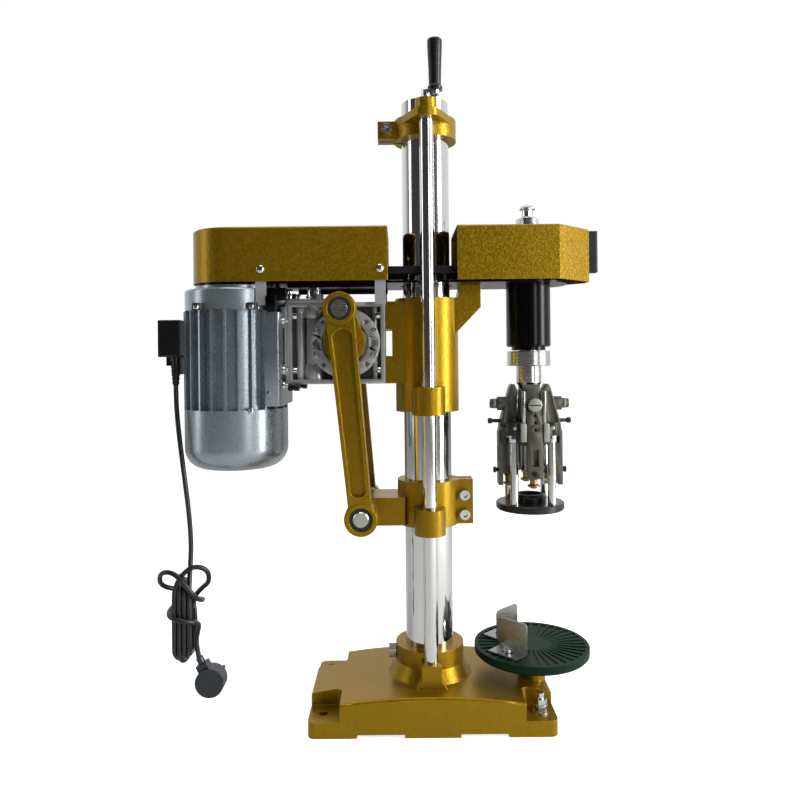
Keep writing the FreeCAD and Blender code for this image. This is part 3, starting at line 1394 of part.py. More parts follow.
def roller(side, angle):
    """One spool-shaped sealing roller, free on its lever's pin."""
    radius = "roller_circle / 2"
    across = "%s * %d" % (radius, round(math.cos(math.radians(angle))))
    depth = "%s * %d" % (radius, round(math.sin(math.radians(angle))))
    top = "%s - lever_pivot_drop - lever_foot - soft_gap" % DECK
    spool = Piece("roller_" + side, "head_offset + " + across, depth, top + " - roller_length + soft_gap")
    bore = "roller_pin_diameter / 2 + running_gap"
    wide = "roller_diameter / 2"
    waist = "roller_waist / 2"
    high = "roller_length - soft_gap"
    spool.turned([(bore, "0"), (wide, "0"), (wide, "2.5"), (waist, "4"), (waist, high + " - 2.5"),
                  (wide + " - 1", high + " - 1.5"), (wide + " - 1", high), (bore, high)])


def pressure_block():
    """The sprung block that presses the cap down onto the bottle."""
    block = Piece("pressure_block", "head_offset", "0", DECK)
    top = "-(carrier_top + carrier_thickness + side_gap)"
    stem = "block_stem_diameter / 2"
    wide = "block_diameter / 2"
    low = top + " - block_length"
    block.turned([("0", low), (wide + " - 2", low), (wide, low + " + 2"), (wide, top), (stem, top),
                  (stem, top + " + block_stem_length"), ("0", top + " + block_stem_length")])


# The switch box and the cord


def switch_box():
    """The moulded switch box on the motor's left, with its stepped underside."""
    case = Piece("switch_box", "-motor_offset", "0", CARRIAGE)
    case.add("XZ", box("-switch_left", "-switch_right", "-switch_low", "switch_high"), "-switch_half_width",
             "switch_half_width")
    sides = value("switch_left - switch_right")
    case.soften("Fillet", "2.5", lambda edge: near(edge.BoundBox.XLength, sides))
    for index, inset in enumerate(("6", "12.5")):
        top = "-switch_low - switch_step * %d" % index
        case.add("XZ",
                 box("-switch_left + " + inset, "-switch_right - 3", top + " - switch_step", top + " + 1"),
                 "-switch_half_width + 13", "switch_half_width - 13")


def cable_gland():
    """The gland that the cord leaves the switch box by."""
    gland = Piece("cable_gland", "-motor_offset - gland_offset_x", "-gland_offset_y",
                  CARRIAGE + " - switch_low")
    gland.add("XY", disc("0", "0", "gland_diameter / 2"), "-gland_length / 2", "0")
    gland.add("XY", disc("0", "0", "gland_diameter / 2 - 1.5"), "-gland_length", "-gland_length / 2")


# The free cord's route, from the gland down to the hank, and from the hank to the plug
DROP_ROUTE = [(-314.0, -24.0, 437.4), (-314.0, -24.0, 419.0), (-311.5, -30.0, 385.0),
              (-304.0, -42.0, 342.0),
              (-297.0, -48.0, 300.0), (-293.0, -45.0, 258.0), (-291.6, -41.5, 220.0),
              (-292.5, -40.0, 178.0)]
TAIL_ROUTE = [(-289.5, -40.0, 112.0), (-288.5, -40.0, 97.0), (-284.0, -40.0, 80.3)]


def cord_tube(label, route):
    """A plain tube along straight runs joined by arcs as large as the runs allow."""
    radius = value("cord_diameter / 2")
    corners = [FreeCAD.Vector(*point) for point in route]
    edges = []
    start = corners[0]
    for before, corner, after in zip(corners, corners[1:], corners[2:]):
        back = before - corner
        ahead = after - corner
        half_turn = (math.pi - back.getAngle(ahead)) / 2
        trim = 0.45 * min(back.Length, ahead.Length)
        bend = trim / math.tan(half_turn)
        first = corner + back.normalize() * trim
        last = corner + ahead.normalize() * trim
        inward = (back + ahead).normalize()
        middle = corner + inward * (bend / math.cos(half_turn) - bend)
        edges += [Part.LineSegment(start, first).toShape(), Part.Arc(first, middle, last).toShape()]
        start = last
        print("%s bend radius %.0f mm" % (label, bend))
    edges.append(Part.LineSegment(start, corners[-1]).toShape())
    path = Part.Wire(edges)
    ring = Part.Wire([Part.makeCircle(radius, corners[0], corners[1] - corners[0])])
    tube = DOC.addObject("Part::Feature", label)
    tube.Label = label
    tube.Shape = path.makePipeShell([ring], True, True)
    expected = math.pi * radius ** 2 * path.Length
    print("%s length %.0f mm, volume share %.4f" % (label, path.Length, tube.Shape.Volume / expected))
    PIECES[label] = tube


def cord_hank():
    """The outer shape of the tied hank, with its two loops standing out at the top."""
    hank = Piece("cord_hank", "hank_x", "hank_y", "hank_low")
    low = "-hank_depth / 2"
    high = "hank_depth / 2"
    half = "hank_width / 2"
    hank.add("XZ", box("-hank_width / 2", half, half, "hank_height - " + half), low, high)
    hank.add("XZ", disc("0", half, half), low, high)
    hank.add("XZ", disc("0", "hank_height - " + half, half), low, high)
    hank.add("XZ", disc("-hank_left_loop_x", "hank_left_loop_z", "hank_loop_radius"), low, high)
    hank.add("XZ", disc("hank_right_loop_x", "hank_right_loop_z", "hank_loop_radius"), low, high)


def plug():
    """The moulded round-backed plug at the cord's end, with its two pins behind."""
    turn = FreeCAD.Rotation(FreeCAD.Vector(0, 1, 0), -value("plug_tilt"))
    body = Piece("plug", "plug_x", "hank_y", "plug_z", turn)
    low = "-plug_depth / 2"
    high = "plug_depth / 2"
    body.add("XZ", disc("0", "0", "plug_width / 2"), low, high)
    body.add("XZ", box("-plug_neck / 2", "plug_neck / 2", "0", "plug_neck_reach"), "-plug_neck / 2",
             "plug_neck / 2")
    body.add("XY", disc("0", "0", "plug_relief / 2"), "plug_neck_reach - 1", "plug_reach")
    for across in ("-plug_pin_spacing / 2", "plug_pin_spacing / 2"):
        body.add("XZ", disc(across, "0", "plug_pin_diameter / 2"), "plug_depth / 2 - 1",
                 "plug_depth / 2 + plug_pin_length")


def build():
    """Every sub-part in turn, from the stand up to the head."""
    base_casting()
    column()
    group("base_fasteners", [*stand_screws(), *locator_screws(), earth_bolt()])
    top_bracket()
    bottle_table()
    locator("locator_front", -1)
    locator("locator_rear", 1)
    adjusting_screw()
    handle_arm()
    single("grip_pin", grip_pin())
    handle_grip()
    lower_clamp()
    group("lower_clamp_screws",
          [clamp_screw("clamp_ear_screw_x", "clamp_low + " + height, "clamp_ear_width")
                                 for height in ("clamp_screw_low", "clamp_screw_high")])
    pivot_pin()
    link("front_link", -1)
    link("rear_link", 1)
    link_bushes()
    crank_pins()
    output_shaft()
    crank_arms()
    gearbox_housing()
    worm_input()
    carriage_casting()
    deck_plate()
    left_cover()
    right_cover()
    end_pad()
    cover_straps()
    group("carriage_fasteners", [*gearbox_bolts(), *deck_fasteners()])
    motor_frame()
    motor_bell()
    fan_cover()
    motor_rotor()
    belt("head_belt", ("-motor_offset", "belt_radius"), ("head_offset", "belt_radius"), "head_belt_rise")
    belt("gearbox_belt", ("-motor_offset", "gear_belt_small"), (WORM, "gear_belt_large"), "gear_belt_rise")
    spindle_housing()
    spindle_bearings()
    spindle()
    head_pulley()
    spindle_cap()
    cone_sleeve()
    head_carrier()
    guide_posts()
    guide_ring()
    lever_pins()
    for side, angle in QUARTERS:
        lever(side, angle)
        roller(side, angle)
    pressure_block()
    switch_box()
    cable_gland()
    cord_tube("cord_drop", DROP_ROUTE)
    cord_hank()
    cord_tube("cord_tail", TAIL_ROUTE)
    plug()


def check():
    """Stop if any feature failed or any sub-part has no sound shape."""
    DOC.recompute()
    failed = [item.Name for item in DOC.Objects if "Invalid" in item.State or "Error" in item.State]
    if failed:
        raise RuntimeError("failed features: " + ", ".join(failed))
    for label, piece in PIECES.items():
        if piece.Shape.isNull() or not piece.Shape.isValid() or not piece.Shape.Solids:
            raise RuntimeError("no sound shape: " + label)


def export():
    """Write each sub-part to its own file."""
    os.makedirs("parts", exist_ok=True)
    for label, piece in PIECES.items():
        piece.Shape.exportStep("parts/%s.step" % label)
    print(len(PIECES), "parts written")


build()
check()
export()
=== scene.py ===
"""Looks of the bench-top roll-on pilfer-proof capper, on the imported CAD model."""
import bpy
import bmesh
import json
import math
from mathutils import Matrix, Vector


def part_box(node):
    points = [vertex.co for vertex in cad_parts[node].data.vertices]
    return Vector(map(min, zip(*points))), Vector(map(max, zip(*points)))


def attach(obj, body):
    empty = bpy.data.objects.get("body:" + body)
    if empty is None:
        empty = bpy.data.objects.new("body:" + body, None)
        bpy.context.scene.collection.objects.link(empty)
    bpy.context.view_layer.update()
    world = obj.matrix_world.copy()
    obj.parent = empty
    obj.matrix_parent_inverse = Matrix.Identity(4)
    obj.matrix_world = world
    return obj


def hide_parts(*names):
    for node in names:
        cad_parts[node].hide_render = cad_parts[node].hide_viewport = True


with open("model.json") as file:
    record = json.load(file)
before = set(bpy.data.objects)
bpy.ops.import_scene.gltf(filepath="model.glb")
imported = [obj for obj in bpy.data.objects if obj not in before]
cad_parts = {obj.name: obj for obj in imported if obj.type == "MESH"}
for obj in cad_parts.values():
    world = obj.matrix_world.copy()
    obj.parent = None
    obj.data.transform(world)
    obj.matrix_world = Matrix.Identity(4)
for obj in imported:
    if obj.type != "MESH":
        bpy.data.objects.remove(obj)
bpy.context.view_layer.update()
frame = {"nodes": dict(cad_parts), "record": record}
nodes = frame["nodes"]

# Camera, placed by the photograph's perspective: 911 mm in front of the column's axis
CAMERA_PLACE = (-0.0345, -0.911, 0.4435)
CAMERA_ROLL = 0.56
PHOTO_PIXELS = 800.0
PHOTO_CENTRE = (400.0, 358.0)
eye = bpy.data.cameras.new("camera")
eye.sensor_width = 36.0
eye.lens = 32.04
eye.shift_y = -0.0525
eye.clip_start = 0.05
camera = bpy.data.objects.new("camera", eye)
camera.location = CAMERA_PLACE
camera.rotation_euler = (math.radians(90.0), math.radians(CAMERA_ROLL), 0.0)
bpy.context.scene.collection.objects.link(camera)
bpy.context.scene.camera = camera


# Materials, in linear colours and metres
BEVEL_SAMPLES = 4
FLAT_DOT = 0.995
EDGE_DOT = 0.86


class Shader:
    """A material made of nodes, with the few links that the finishes below share."""

    def __init__(self, name, colour, rough, metal=0.0):
        self.material = bpy.data.materials.new(name)
        self.material.use_nodes = True
        self.nodes = self.material.node_tree.nodes
        self.links = self.material.node_tree.links
        self.bsdf = self.nodes["Principled BSDF"]
        self.colour = self.constant(colour)
        self.put("Base Color", (*colour, 1.0))
        self.put("Roughness", rough)
        self.put("Metallic", metal)
        self.where = self.nodes.new("ShaderNodeTexCoord").outputs["Object"]
        self.normal = None

    def constant(self, colour):
        node = self.nodes.new("ShaderNodeRGB")
        node.outputs[0].default_value = (*colour, 1.0)
        return node.outputs[0]

    def put(self, socket, amount):
        self.bsdf.inputs[socket].default_value = amount

    def link(self, output, target):
        self.links.new(output, target)

    def stretched(self, scale):
        node = self.nodes.new("ShaderNodeMapping")
        node.inputs["Scale"].default_value = scale
        self.link(self.where, node.inputs["Vector"])
        return node.outputs["Vector"]

    def noise(self, scale, detail=3.0, rough=0.55, stretch=None):
        node = self.nodes.new("ShaderNodeTexNoise")
        node.inputs["Scale"].default_value = scale
        node.inputs["Detail"].default_value = detail
        node.inputs["Roughness"].default_value = rough
        self.link(self.stretched(stretch) if stretch else self.where, node.inputs["Vector"])
        return node.outputs["Fac"]

    def cells(self, scale, smooth=0.6):
        node = self.nodes.new("ShaderNodeTexVoronoi")
        node.feature = "SMOOTH_F1"
        node.inputs["Scale"].default_value = scale
        node.inputs["Smoothness"].default_value = smooth
        self.link(self.where, node.inputs["Vector"])
        return node.outputs["Distance"]

    def ramp(self, source, low, high, low_out=0.0, high_out=1.0):
        node = self.nodes.new("ShaderNodeMapRange")
        node.inputs["From Min"].default_value = low
        node.inputs["From Max"].default_value = high
        node.inputs["To Min"].default_value = low_out
        node.inputs["To Max"].default_value = high_out
        self.link(source, node.inputs["Value"])
        return node.outputs["Result"]

    def tint(self, amount, colour):
        """Mixes colour into the base colour where amount is 1."""
        node = self.nodes.new("ShaderNodeMix")
        node.data_type = "RGBA"
        self.link(amount, node.inputs["Factor"])
        self.link(self.colour, node.inputs["A"])
        node.inputs["B"].default_value = (*colour, 1.0)
        self.colour = node.outputs["Result"]
        self.link(self.colour, self.bsdf.inputs["Base Color"])

    def roughen(self, source, low, high):
        self.link(self.ramp(source, 0.3, 0.7, low, high), self.bsdf.inputs["Roughness"])

    def bump(self, source, strength, depth):
        node = self.nodes.new("ShaderNodeBump")
        node.inputs["Strength"].default_value = strength
        node.inputs["Distance"].default_value = depth
        self.link(source, node.inputs["Height"])
        if self.normal:
            self.link(self.normal, node.inputs["Normal"])
        self.normal = node.outputs["Normal"]
        self.link(self.normal, self.bsdf.inputs["Normal"])

    def soft_edges(self, radius):
        node = self.nodes.new("ShaderNodeBevel")
        node.samples = BEVEL_SAMPLES
        node.inputs["Radius"].default_value = radius
        self.normal = node.outputs["Normal"]
        self.link(self.normal, self.bsdf.inputs["Normal"])

    def edges(self, radius):
        """1 at the object's sharp edges and 0 on its flats."""
        bevel = self.nodes.new("ShaderNodeBevel")
        bevel.samples = BEVEL_SAMPLES
        bevel.inputs["Radius"].default_value = radius
        true = self.nodes.new("ShaderNodeNewGeometry")
        dot = self.nodes.new("ShaderNodeVectorMath")
        dot.operation = "DOT_PRODUCT"
        self.link(bevel.outputs["Normal"], dot.inputs[0])
        self.link(true.outputs["Normal"], dot.inputs[1])
        return self.ramp(dot.outputs["Value"], FLAT_DOT, EDGE_DOT)


def scaled(colour, share, lift=0.0):
    """A colour made lighter or darker by a share, with a little white added."""
    return tuple(min(1.0, part * share + lift) for part in colour)


def hammered(name, colour, grain=420.0):
    """Hammered enamel: small rounded dimples over a metallic flake, brighter where the edges wear."""
    made = Shader(name, colour, 0.36, 0.72)
    made.put("Coat Weight", 0.04)
    made.put("Coat Roughness", 0.22)
    made.put("Specular IOR Level", 0.25)
    made.soft_edges(0.0009)
    cells = made.cells(grain, 0.75)
    broad = made.noise(26.0, 3.0)
    flakes = made.noise(1300.0, 2.0)
    worn = made.edges(0.0012)
    made.tint(made.ramp(broad, 0.30, 0.75, 0.0, 0.45), scaled(colour, 0.74))
    made.tint(made.ramp(cells, 0.15, 0.60, 0.0, 0.5), scaled(colour, 1.3))
    made.tint(made.ramp(flakes, 0.60, 0.78, 0.0, 0.28), scaled(colour, 1.9))
    made.tint(made.ramp(worn, 0.0, 1.0, 0.0, 0.35), scaled(colour, 1.9, 0.01))
    made.roughen(cells, 0.30, 0.44)
    made.bump(cells, 0.22, 0.0006)
    made.bump(broad, 0.06, 0.004)
    return made.material


def enamel(name, colour, rough=0.34, peel=0.10, coat=0.25, specular=0.5, metal=0.0, soften=0.0007):
    """Plain machine enamel with a little orange peel."""
    made = Shader(name, colour, rough, metal)
    made.put("Coat Weight", coat)
    made.put("Coat Roughness", 0.2)
    made.put("Specular IOR Level", specular)
    if soften:
        made.soft_edges(soften)
    peel_map = made.noise(420.0, 2.0)
    patches = made.noise(30.0, 4.0)
    made.tint(made.ramp(patches, 0.4, 0.75, 0.0, 0.35), scaled(colour, 1.4))
    made.roughen(peel_map, rough - 0.02, rough + 0.04)
    made.bump(peel_map, peel, 0.0005)
    return made.material


def plated(name, colour, rough, along, scratch=0.05):
    """Ground and plated steel with fine streaks along one axis that also darken its colour: grinding grain on
    most metals, and painted reflection streaks on the chrome.
    """
    made = Shader(name, colour, rough, 1.0)
    made.soft_edges(0.0004)
    grain_and_streaks = made.noise(60.0, 4.0, 0.7, along)
    # Darker streaks: grinding grain on most metals, and on the chrome a painted reflection of dark streaks.
    made.tint(made.ramp(grain_and_streaks, 0.35, 0.7, 0.0, 0.45), scaled(colour, 0.72))
    made.roughen(grain_and_streaks, rough * 0.7, rough * 1.5)
    made.bump(grain_and_streaks, scratch, 0.0003)
    return made.material


def cast(name, colour, rough=0.5, metal=0.75, grain=700.0):
    """Blasted casting: fine grain, dull, with brighter worn edges."""
    made = Shader(name, colour, rough, metal)
    made.soft_edges(0.0007)
    spots = made.noise(grain, 4.0, 0.7)
    stains = made.noise(40.0, 4.0)
    worn = made.edges(0.0009)
    made.tint(made.ramp(stains, 0.35, 0.7, 0.0, 0.5), scaled(colour, 0.66))
    made.tint(made.ramp(worn, 0.0, 1.0, 0.0, 0.6), scaled(colour, 1.6, 0.01))
    made.roughen(spots, rough - 0.1, rough + 0.12)
    made.bump(spots, 0.22, 0.0006)
    return made.material


def moulded(name, colour, rough=0.42, grain=1500.0, depth=0.12, specular=0.5):
    """Moulded plastic or rubber with a fine spark-eroded grain."""
    made = Shader(name, colour, rough)
    made.put("Specular IOR Level", specular)
    made.soft_edges(0.0006)
    spots = made.noise(grain, 2.0)
    dust = made.noise(60.0, 4.0)
    made.tint(made.ramp(dust, 0.4, 0.8, 0.0, 0.5), scaled(colour, 1.6, 0.002))
    made.roughen(spots, rough - 0.08, rough + 0.12)
    made.bump(spots, depth, 0.0004)
    return made.material


GOLD = (0.255, 0.150, 0.0035)
looks = {
    "gold_enamel": hammered("gold_enamel", GOLD),
    # Painted reflection: the chrome's darker streaks along its length stand in for reflected dark streaks.
    "chrome_plate": plated("chrome_plate", (0.64, 0.65, 0.63), 0.08, (14.0, 14.0, 0.12)),
    "zinc_steel": plated("zinc_steel", (0.62, 0.63, 0.64), 0.22, (8.0, 8.0, 8.0), 0.1),
    "green_rubber": moulded("green_rubber", (0.0012, 0.017, 0.007), 0.46, 700.0, 0.2, 0.10),
    "stainless_sheet": plated("stainless_sheet", (0.31, 0.315, 0.295), 0.28, (1.0, 1.0, 22.0), 0.1),
    "black_oxide": cast("black_oxide", (0.030, 0.029, 0.026), 0.38, 0.6),
    "black_plastic": moulded("black_plastic", (0.004, 0.004, 0.004), 0.30, specular=0.35),
    "turned_steel": plated("turned_steel", (0.50, 0.495, 0.46), 0.22, (1.0, 1.0, 30.0), 0.1),
    "cast_aluminium": cast("cast_aluminium", (0.42, 0.435, 0.43), 0.40, 0.8),
    "black_enamel": enamel("black_enamel", (0.001, 0.001, 0.001), 0.20, 0.04, 0.0, 0.16),
    "black_rubber": moulded("black_rubber", (0.004, 0.004, 0.004), 0.5, 900.0, 0.15, 0.3),
    "grey_sheet": enamel("grey_sheet", (0.24, 0.245, 0.255), 0.40, coat=0.1),
    "silver_enamel": enamel("silver_enamel", (0.27, 0.305, 0.335), 0.28, 0.02, 0.15, 0.5, 0.75, 0.0),
    "lever_steel": cast("lever_steel", (0.105, 0.102, 0.082), 0.40, 0.7),
    "brass": plated("brass", (0.33, 0.225, 0.085), 0.28, (1.0, 1.0, 25.0), 0.1),
    "bright_steel": plated("bright_steel", (0.66, 0.66, 0.64), 0.16, (6.0, 6.0, 6.0), 0.05),
    "dull_steel": cast("dull_steel", (0.33, 0.33, 0.28), 0.42, 0.6),
    # Painted shade: a near-black copy of the cast aluminium, for the shaded recess inside the gearbox's
    # frame.
    "painted_shade_cast": cast("painted_shade_cast", (0.040, 0.042, 0.042), 0.55, 0.4),
    # Painted shade: near-black stands in for the shade inside slots, notches, grooves, screw slots, hexagon
    # sockets and cross recesses.
    "painted_hole_shade": cast("painted_hole_shade", (0.006, 0.006, 0.005), 0.6, 0.0),
    "cord_sheath": moulded("cord_sheath", (0.006, 0.006, 0.006), 0.32, 1100.0, 0.08),
    "plug_blue": moulded("plug_blue", (0.008, 0.014, 0.020), 0.30),
}
for row in frame["record"]["subparts"]:
    piece = nodes.get(row["node"])
    if piece is None:
        continue
    for slot in piece.material_slots:
        slot.link = "OBJECT"
        slot.material = looks[row["material_slot"]]
nodes["plug"].material_slots[0].material = looks["plug_blue"]
nodes["handle_arm"].material_slots[0].material = looks["bright_steel"]
nodes["lower_clamp_screws"].material_slots[0].material = looks["bright_steel"]

# Pieces that the photograph shows and the CAD model leaves to the looks, in millimetres in the CAD frame
TURNS = {"XY": lambda u, v, w: (u, v, w), "XZ": lambda u, v, w: (u, w, v), "YZ": lambda u, v, w: (w, u, v)}
SIDES = (-1.0, 1.0)
METRES_TO_MM = 1000.0
MM_TO_METRES = 0.001
EDGE_CHAMFER = 0.0004
SHARP_ANGLE = 35.0
CHAMFER_ANGLE = 40.0
CUT_CLEAR = 1.0
OVERLAP = 0.5
HEXAGON = 6


class Form:
    """A rigid piece made of prisms and turned shapes, with cuts, chamfered edges and a material."""

    def __init__(self, name, body, look, origin=(0.0, 0.0, 0.0), turn=0.0):
        self.name = name
        self.body = body
        self.look = look
        self.shape = bmesh.new()
        self.tool = bmesh.new()
        self.place = Matrix.Translation(Vector(origin)) @ Matrix.Rotation(math.radians(turn), 4, "Z")

    def prism(self, plane, outline, low, high, shape=None):
        shape = self.shape if shape is None else shape
        turned = TURNS[plane]
        ends = []
        for level in (low, high):
            ends.append([shape.verts.new(self.place @ Vector(turned(u, v, level))) for u, v in outline])
        made = [shape.faces.new(end) for end in ends]
        for index in range(len(outline)):
            after = (index + 1) % len(outline)
            made.append(shape.faces.new((ends[0][index], ends[0][after], ends[1][after], ends[1][index])))
        bmesh.ops.recalc_face_normals(shape, faces=made)

    def block(self, x, y, z, shape=None):
        """A box from its spans along the three axes."""
        self.prism("XY", [(x[0], y[0]), (x[1], y[0]), (x[1], y[1]), (x[0], y[1])], z[0], z[1], shape)

    def disc(self, plane, u, v, radius, low, high, shape=None, sides=40):
        turns = [2.0 * math.pi * index / sides for index in range(sides)]
        outline = [(u + radius * math.cos(turn), v + radius * math.sin(turn)) for turn in turns]
        self.prism(plane, outline, low, high, shape)

    def turned(self, plane, u, v, profile, sides=48):
        """Turns (radius, height) points round an axis; a radius of 0 closes the end."""
        rings = []
        made = []
        for radius, height in profile:
            if radius == 0.0:
                rings.append([self.shape.verts.new(self.place @ Vector(TURNS[plane](u, v, height)))])
                continue
            turns = [2.0 * math.pi * index / sides for index in range(sides)]
            spots = [TURNS[plane](u + radius * math.cos(t), v + radius * math.sin(t), height) for t in turns]
            rings.append([self.shape.verts.new(self.place @ Vector(spot)) for spot in spots])
        for lower, upper in zip(rings, rings[1:]):
            for index in range(sides):
                after = (index + 1) % sides
                corners = [lower[index % len(lower)], lower[after % len(lower)],
                           upper[after % len(upper)], upper[index % len(upper)]]
                made.append(self.shape.faces.new(list(dict.fromkeys(corners))))
        bmesh.ops.recalc_face_normals(self.shape, faces=made)

    def holder(self, shape, name):
        mesh = bpy.data.meshes.new(name)
        shape.to_mesh(mesh)
        mesh.transform(Matrix.Scale(MM_TO_METRES, 4))
        shape.free()
        return bpy.data.objects.new(name, mesh)

    def make(self, *stands_for, chamfer=EDGE_CHAMFER):
        """Cuts and chamfers the shape and hands it to its body, in place of the nodes it stands for."""
        cutting = len(self.tool.faces) > 0
        piece = self.holder(self.shape, self.name)
        bpy.context.scene.collection.objects.link(piece)
        cutter = self.holder(self.tool, self.name + "_tool")
        if cutting:
            bpy.context.scene.collection.objects.link(cutter)
            cut = piece.modifiers.new("cut", "BOOLEAN")
            cut.operation = "DIFFERENCE"
            cut.solver = "EXACT"
            cut.use_self = True
            cut.object = cutter
        if chamfer:
            edge = piece.modifiers.new("edge", "BEVEL")
            edge.width = chamfer
            edge.segments = 2
            edge.limit_method = "ANGLE"
            edge.angle_limit = math.radians(CHAMFER_ANGLE)
        bpy.context.view_layer.update()
        plain = piece.data
        seen_piece = piece.evaluated_get(bpy.context.evaluated_depsgraph_get())
        piece.data = bpy.data.meshes.new_from_object(seen_piece)
        piece.modifiers.clear()
        bpy.data.meshes.remove(plain)
        tool_mesh = cutter.data
        bpy.data.objects.remove(cutter)
        bpy.data.meshes.remove(tool_mesh)
        piece.data.name = self.name
        piece.data.shade_smooth()
        piece.data.set_sharp_from_angle(angle=math.radians(SHARP_ANGLE))
        piece.data.materials.clear()
        piece.data.materials.append(looks[self.look])
        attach(piece, self.body)
        if stands_for:
            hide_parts(*stands_for)
        return piece


def dimension(node, axis, end):
    """One bound of a node's box at rest: axis 0 to 2, end 0 for low and 1 for high."""
    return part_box(node)[end][axis] * METRES_TO_MM


def middle(node, axis):
    return (dimension(node, axis, 0) + dimension(node, axis, 1)) / 2.0


def span(side, near, far):
    """From near to far on one side of the middle plane, the lower bound first."""
    return sorted((side * near, side * far))


OUTPUT_X = middle("output_shaft", 0)
OUTPUT_Z = middle("output_shaft", 2)
HEAD_X = middle("spindle", 0)
PIVOT_Z = middle("lever_pins", 2)
MOTOR_X = middle("fan_cover", 0)
MOTOR_FOOT_Z = dimension("motor_bell", 2, 0)

# Gearbox, measured from the middle of its output shaft
GEARBOX = (OUTPUT_X, 0.0, OUTPUT_Z)
FRAME_LEFT = -74.2
FRAME_RIGHT = 49.3
FRAME_HALF_HEIGHT = 50.5
FRAME_HALF_DEPTH = 32.0
FRAME_CORE = 19.0
FRAME_RIM = 5.5
FRAME_WALL = 8.0
FRAME_INSIDE = (FRAME_LEFT + FRAME_WALL, FRAME_RIGHT - FRAME_RIM)
FRAME_INSIDE_HEIGHT = (-FRAME_HALF_HEIGHT + FRAME_RIM, FRAME_HALF_HEIGHT - FRAME_RIM)
FACE_RADIUS = 43.0
FACE_DEPTH = 35.5
FACE_BORE = 27.0
FACE_CHAMFER = 1.8
FACE_HOLE_RING = 37.0
FACE_HOLE_TURNS = (45.0, 135.0, 225.0, 315.0)
FACE_HOLE_RADIUS = 2.7
FACE_HOLE_DEPTH = 8.0
FACE_WINDOW = [(31.0, -8.0), (39.5, -2.0), (39.5, 2.0), (31.0, 8.0)]
FACE_BOLT_PROFILE = [(0.0, 1.0), (1.6, 1.2), (1.6, 2.2), (3.4, 2.0), (4.2, 0.8), (4.2, 0.0)]
BOLT_RING = 38.25
BOLT_TURNS = (22.5, -22.5, 157.5, 202.5)
RECESS_SHEET = 0.6
RECESS_MARGIN = 6.0
WORM_X = -40.2
WORM_BOSS_PROFILE = [(7.4, 50.0), (12.5, 50.0), (12.5, 55.0), (10.5, 56.5), (10.5, 63.0), (7.4, 63.0)]
LID_RIGHT = -14.0
LID_INSET = 2.0
LID_DEPTHS = (17.0, 33.0)
LID_HEIGHT = 4.5


def gearbox_frame():
    """The gearbox's open square frame, a near-black sheet round its core painting the shade in its recess,
    the worm's boss and the lid.
    """
    housing = Form("gearbox_frame", "carriage", "cast_aluminium", GEARBOX)
    housing.block((FRAME_LEFT, FRAME_RIGHT), (-FRAME_HALF_DEPTH, FRAME_HALF_DEPTH),
                  (-FRAME_HALF_HEIGHT, FRAME_HALF_HEIGHT))
    for side in SIDES:
        depth = span(side, FRAME_CORE, FRAME_HALF_DEPTH + CUT_CLEAR)
        housing.block(FRAME_INSIDE, depth, FRAME_INSIDE_HEIGHT, housing.tool)
    housing.disc("XZ", 0.0, 0.0, FACE_BORE, -FRAME_CORE - OVERLAP, FRAME_CORE + OVERLAP, housing.tool)
    housing.make("gearbox_housing")
    # Painted shade: a thin near-black sheet behind the frame's openings stands in for the shadow in the
    # recess round the core.
    recess = Form("gearbox_recess_shade", "carriage", "painted_shade_cast", GEARBOX)
    for side in SIDES:
        low, high = span(side, FRAME_CORE - OVERLAP, FRAME_CORE + RECESS_SHEET)
        recess.block(FRAME_INSIDE, (low, high), FRAME_INSIDE_HEIGHT)
        recess.disc("XZ", 0.0, 0.0, FACE_BORE + RECESS_MARGIN, low - CUT_CLEAR, high + CUT_CLEAR, recess.tool)
    recess.make(chamfer=0.0)
    boss = Form("worm_boss", "carriage", "cast_aluminium", GEARBOX)
    boss.turned("XY", WORM_X, 0.0, WORM_BOSS_PROFILE)
    boss.make()
    lid = Form("gearbox_lid", "carriage", "cast_aluminium", GEARBOX)
    for side in SIDES:
        lid.block((FRAME_LEFT + LID_INSET, LID_RIGHT), span(side, *LID_DEPTHS),
                  (FRAME_HALF_HEIGHT, FRAME_HALF_HEIGHT + LID_HEIGHT))
    lid.make()


def face_bolt(far, side):
    """The profile of a face's bolt, standing out to one side."""
    return [(radius, far + side * out) for radius, out in FACE_BOLT_PROFILE]


def ring_spot(radius, turn):
    """The place on a circle round the origin, across and up."""
    return radius * math.cos(math.radians(turn)), radius * math.sin(math.radians(turn))


def gearbox_faces():
    """The round flanges at the gearbox's front and back, with their bolts, holes and windows."""
    for side, label in zip(SIDES, ("front", "rear")):
        near = side * (FRAME_CORE - CUT_CLEAR)
        far = side * FACE_DEPTH
        face = Form("gearbox_face_" + label, "carriage", "cast_aluminium", GEARBOX)
        face.turned("XZ", 0.0, 0.0, [(FACE_BORE, near), (FACE_RADIUS, near), (FACE_RADIUS, far),
                                     (FACE_BORE + FACE_CHAMFER, far), (FACE_BORE, far - side * FACE_CHAMFER),
                                     (FACE_BORE, near)])
        low, high = span(side, FACE_DEPTH - FACE_HOLE_DEPTH, FACE_DEPTH + CUT_CLEAR)
        for turn in FACE_HOLE_TURNS:
            across, up = ring_spot(FACE_HOLE_RING, turn)
            face.disc("XZ", across, up, FACE_HOLE_RADIUS, low, high, face.tool, 24)
        for sign in SIDES:
            face.prism("XZ", [(sign * across, up) for across, up in FACE_WINDOW], low, high, face.tool)
        face.make()
        bolts = Form("gearbox_bolts_" + label, "carriage", "zinc_steel", GEARBOX)
        for turn in BOLT_TURNS:
            across, up = ring_spot(BOLT_RING, turn)
            bolts.turned("XZ", across, up, face_bolt(far, side), 24)
        bolts.make(chamfer=0.0)


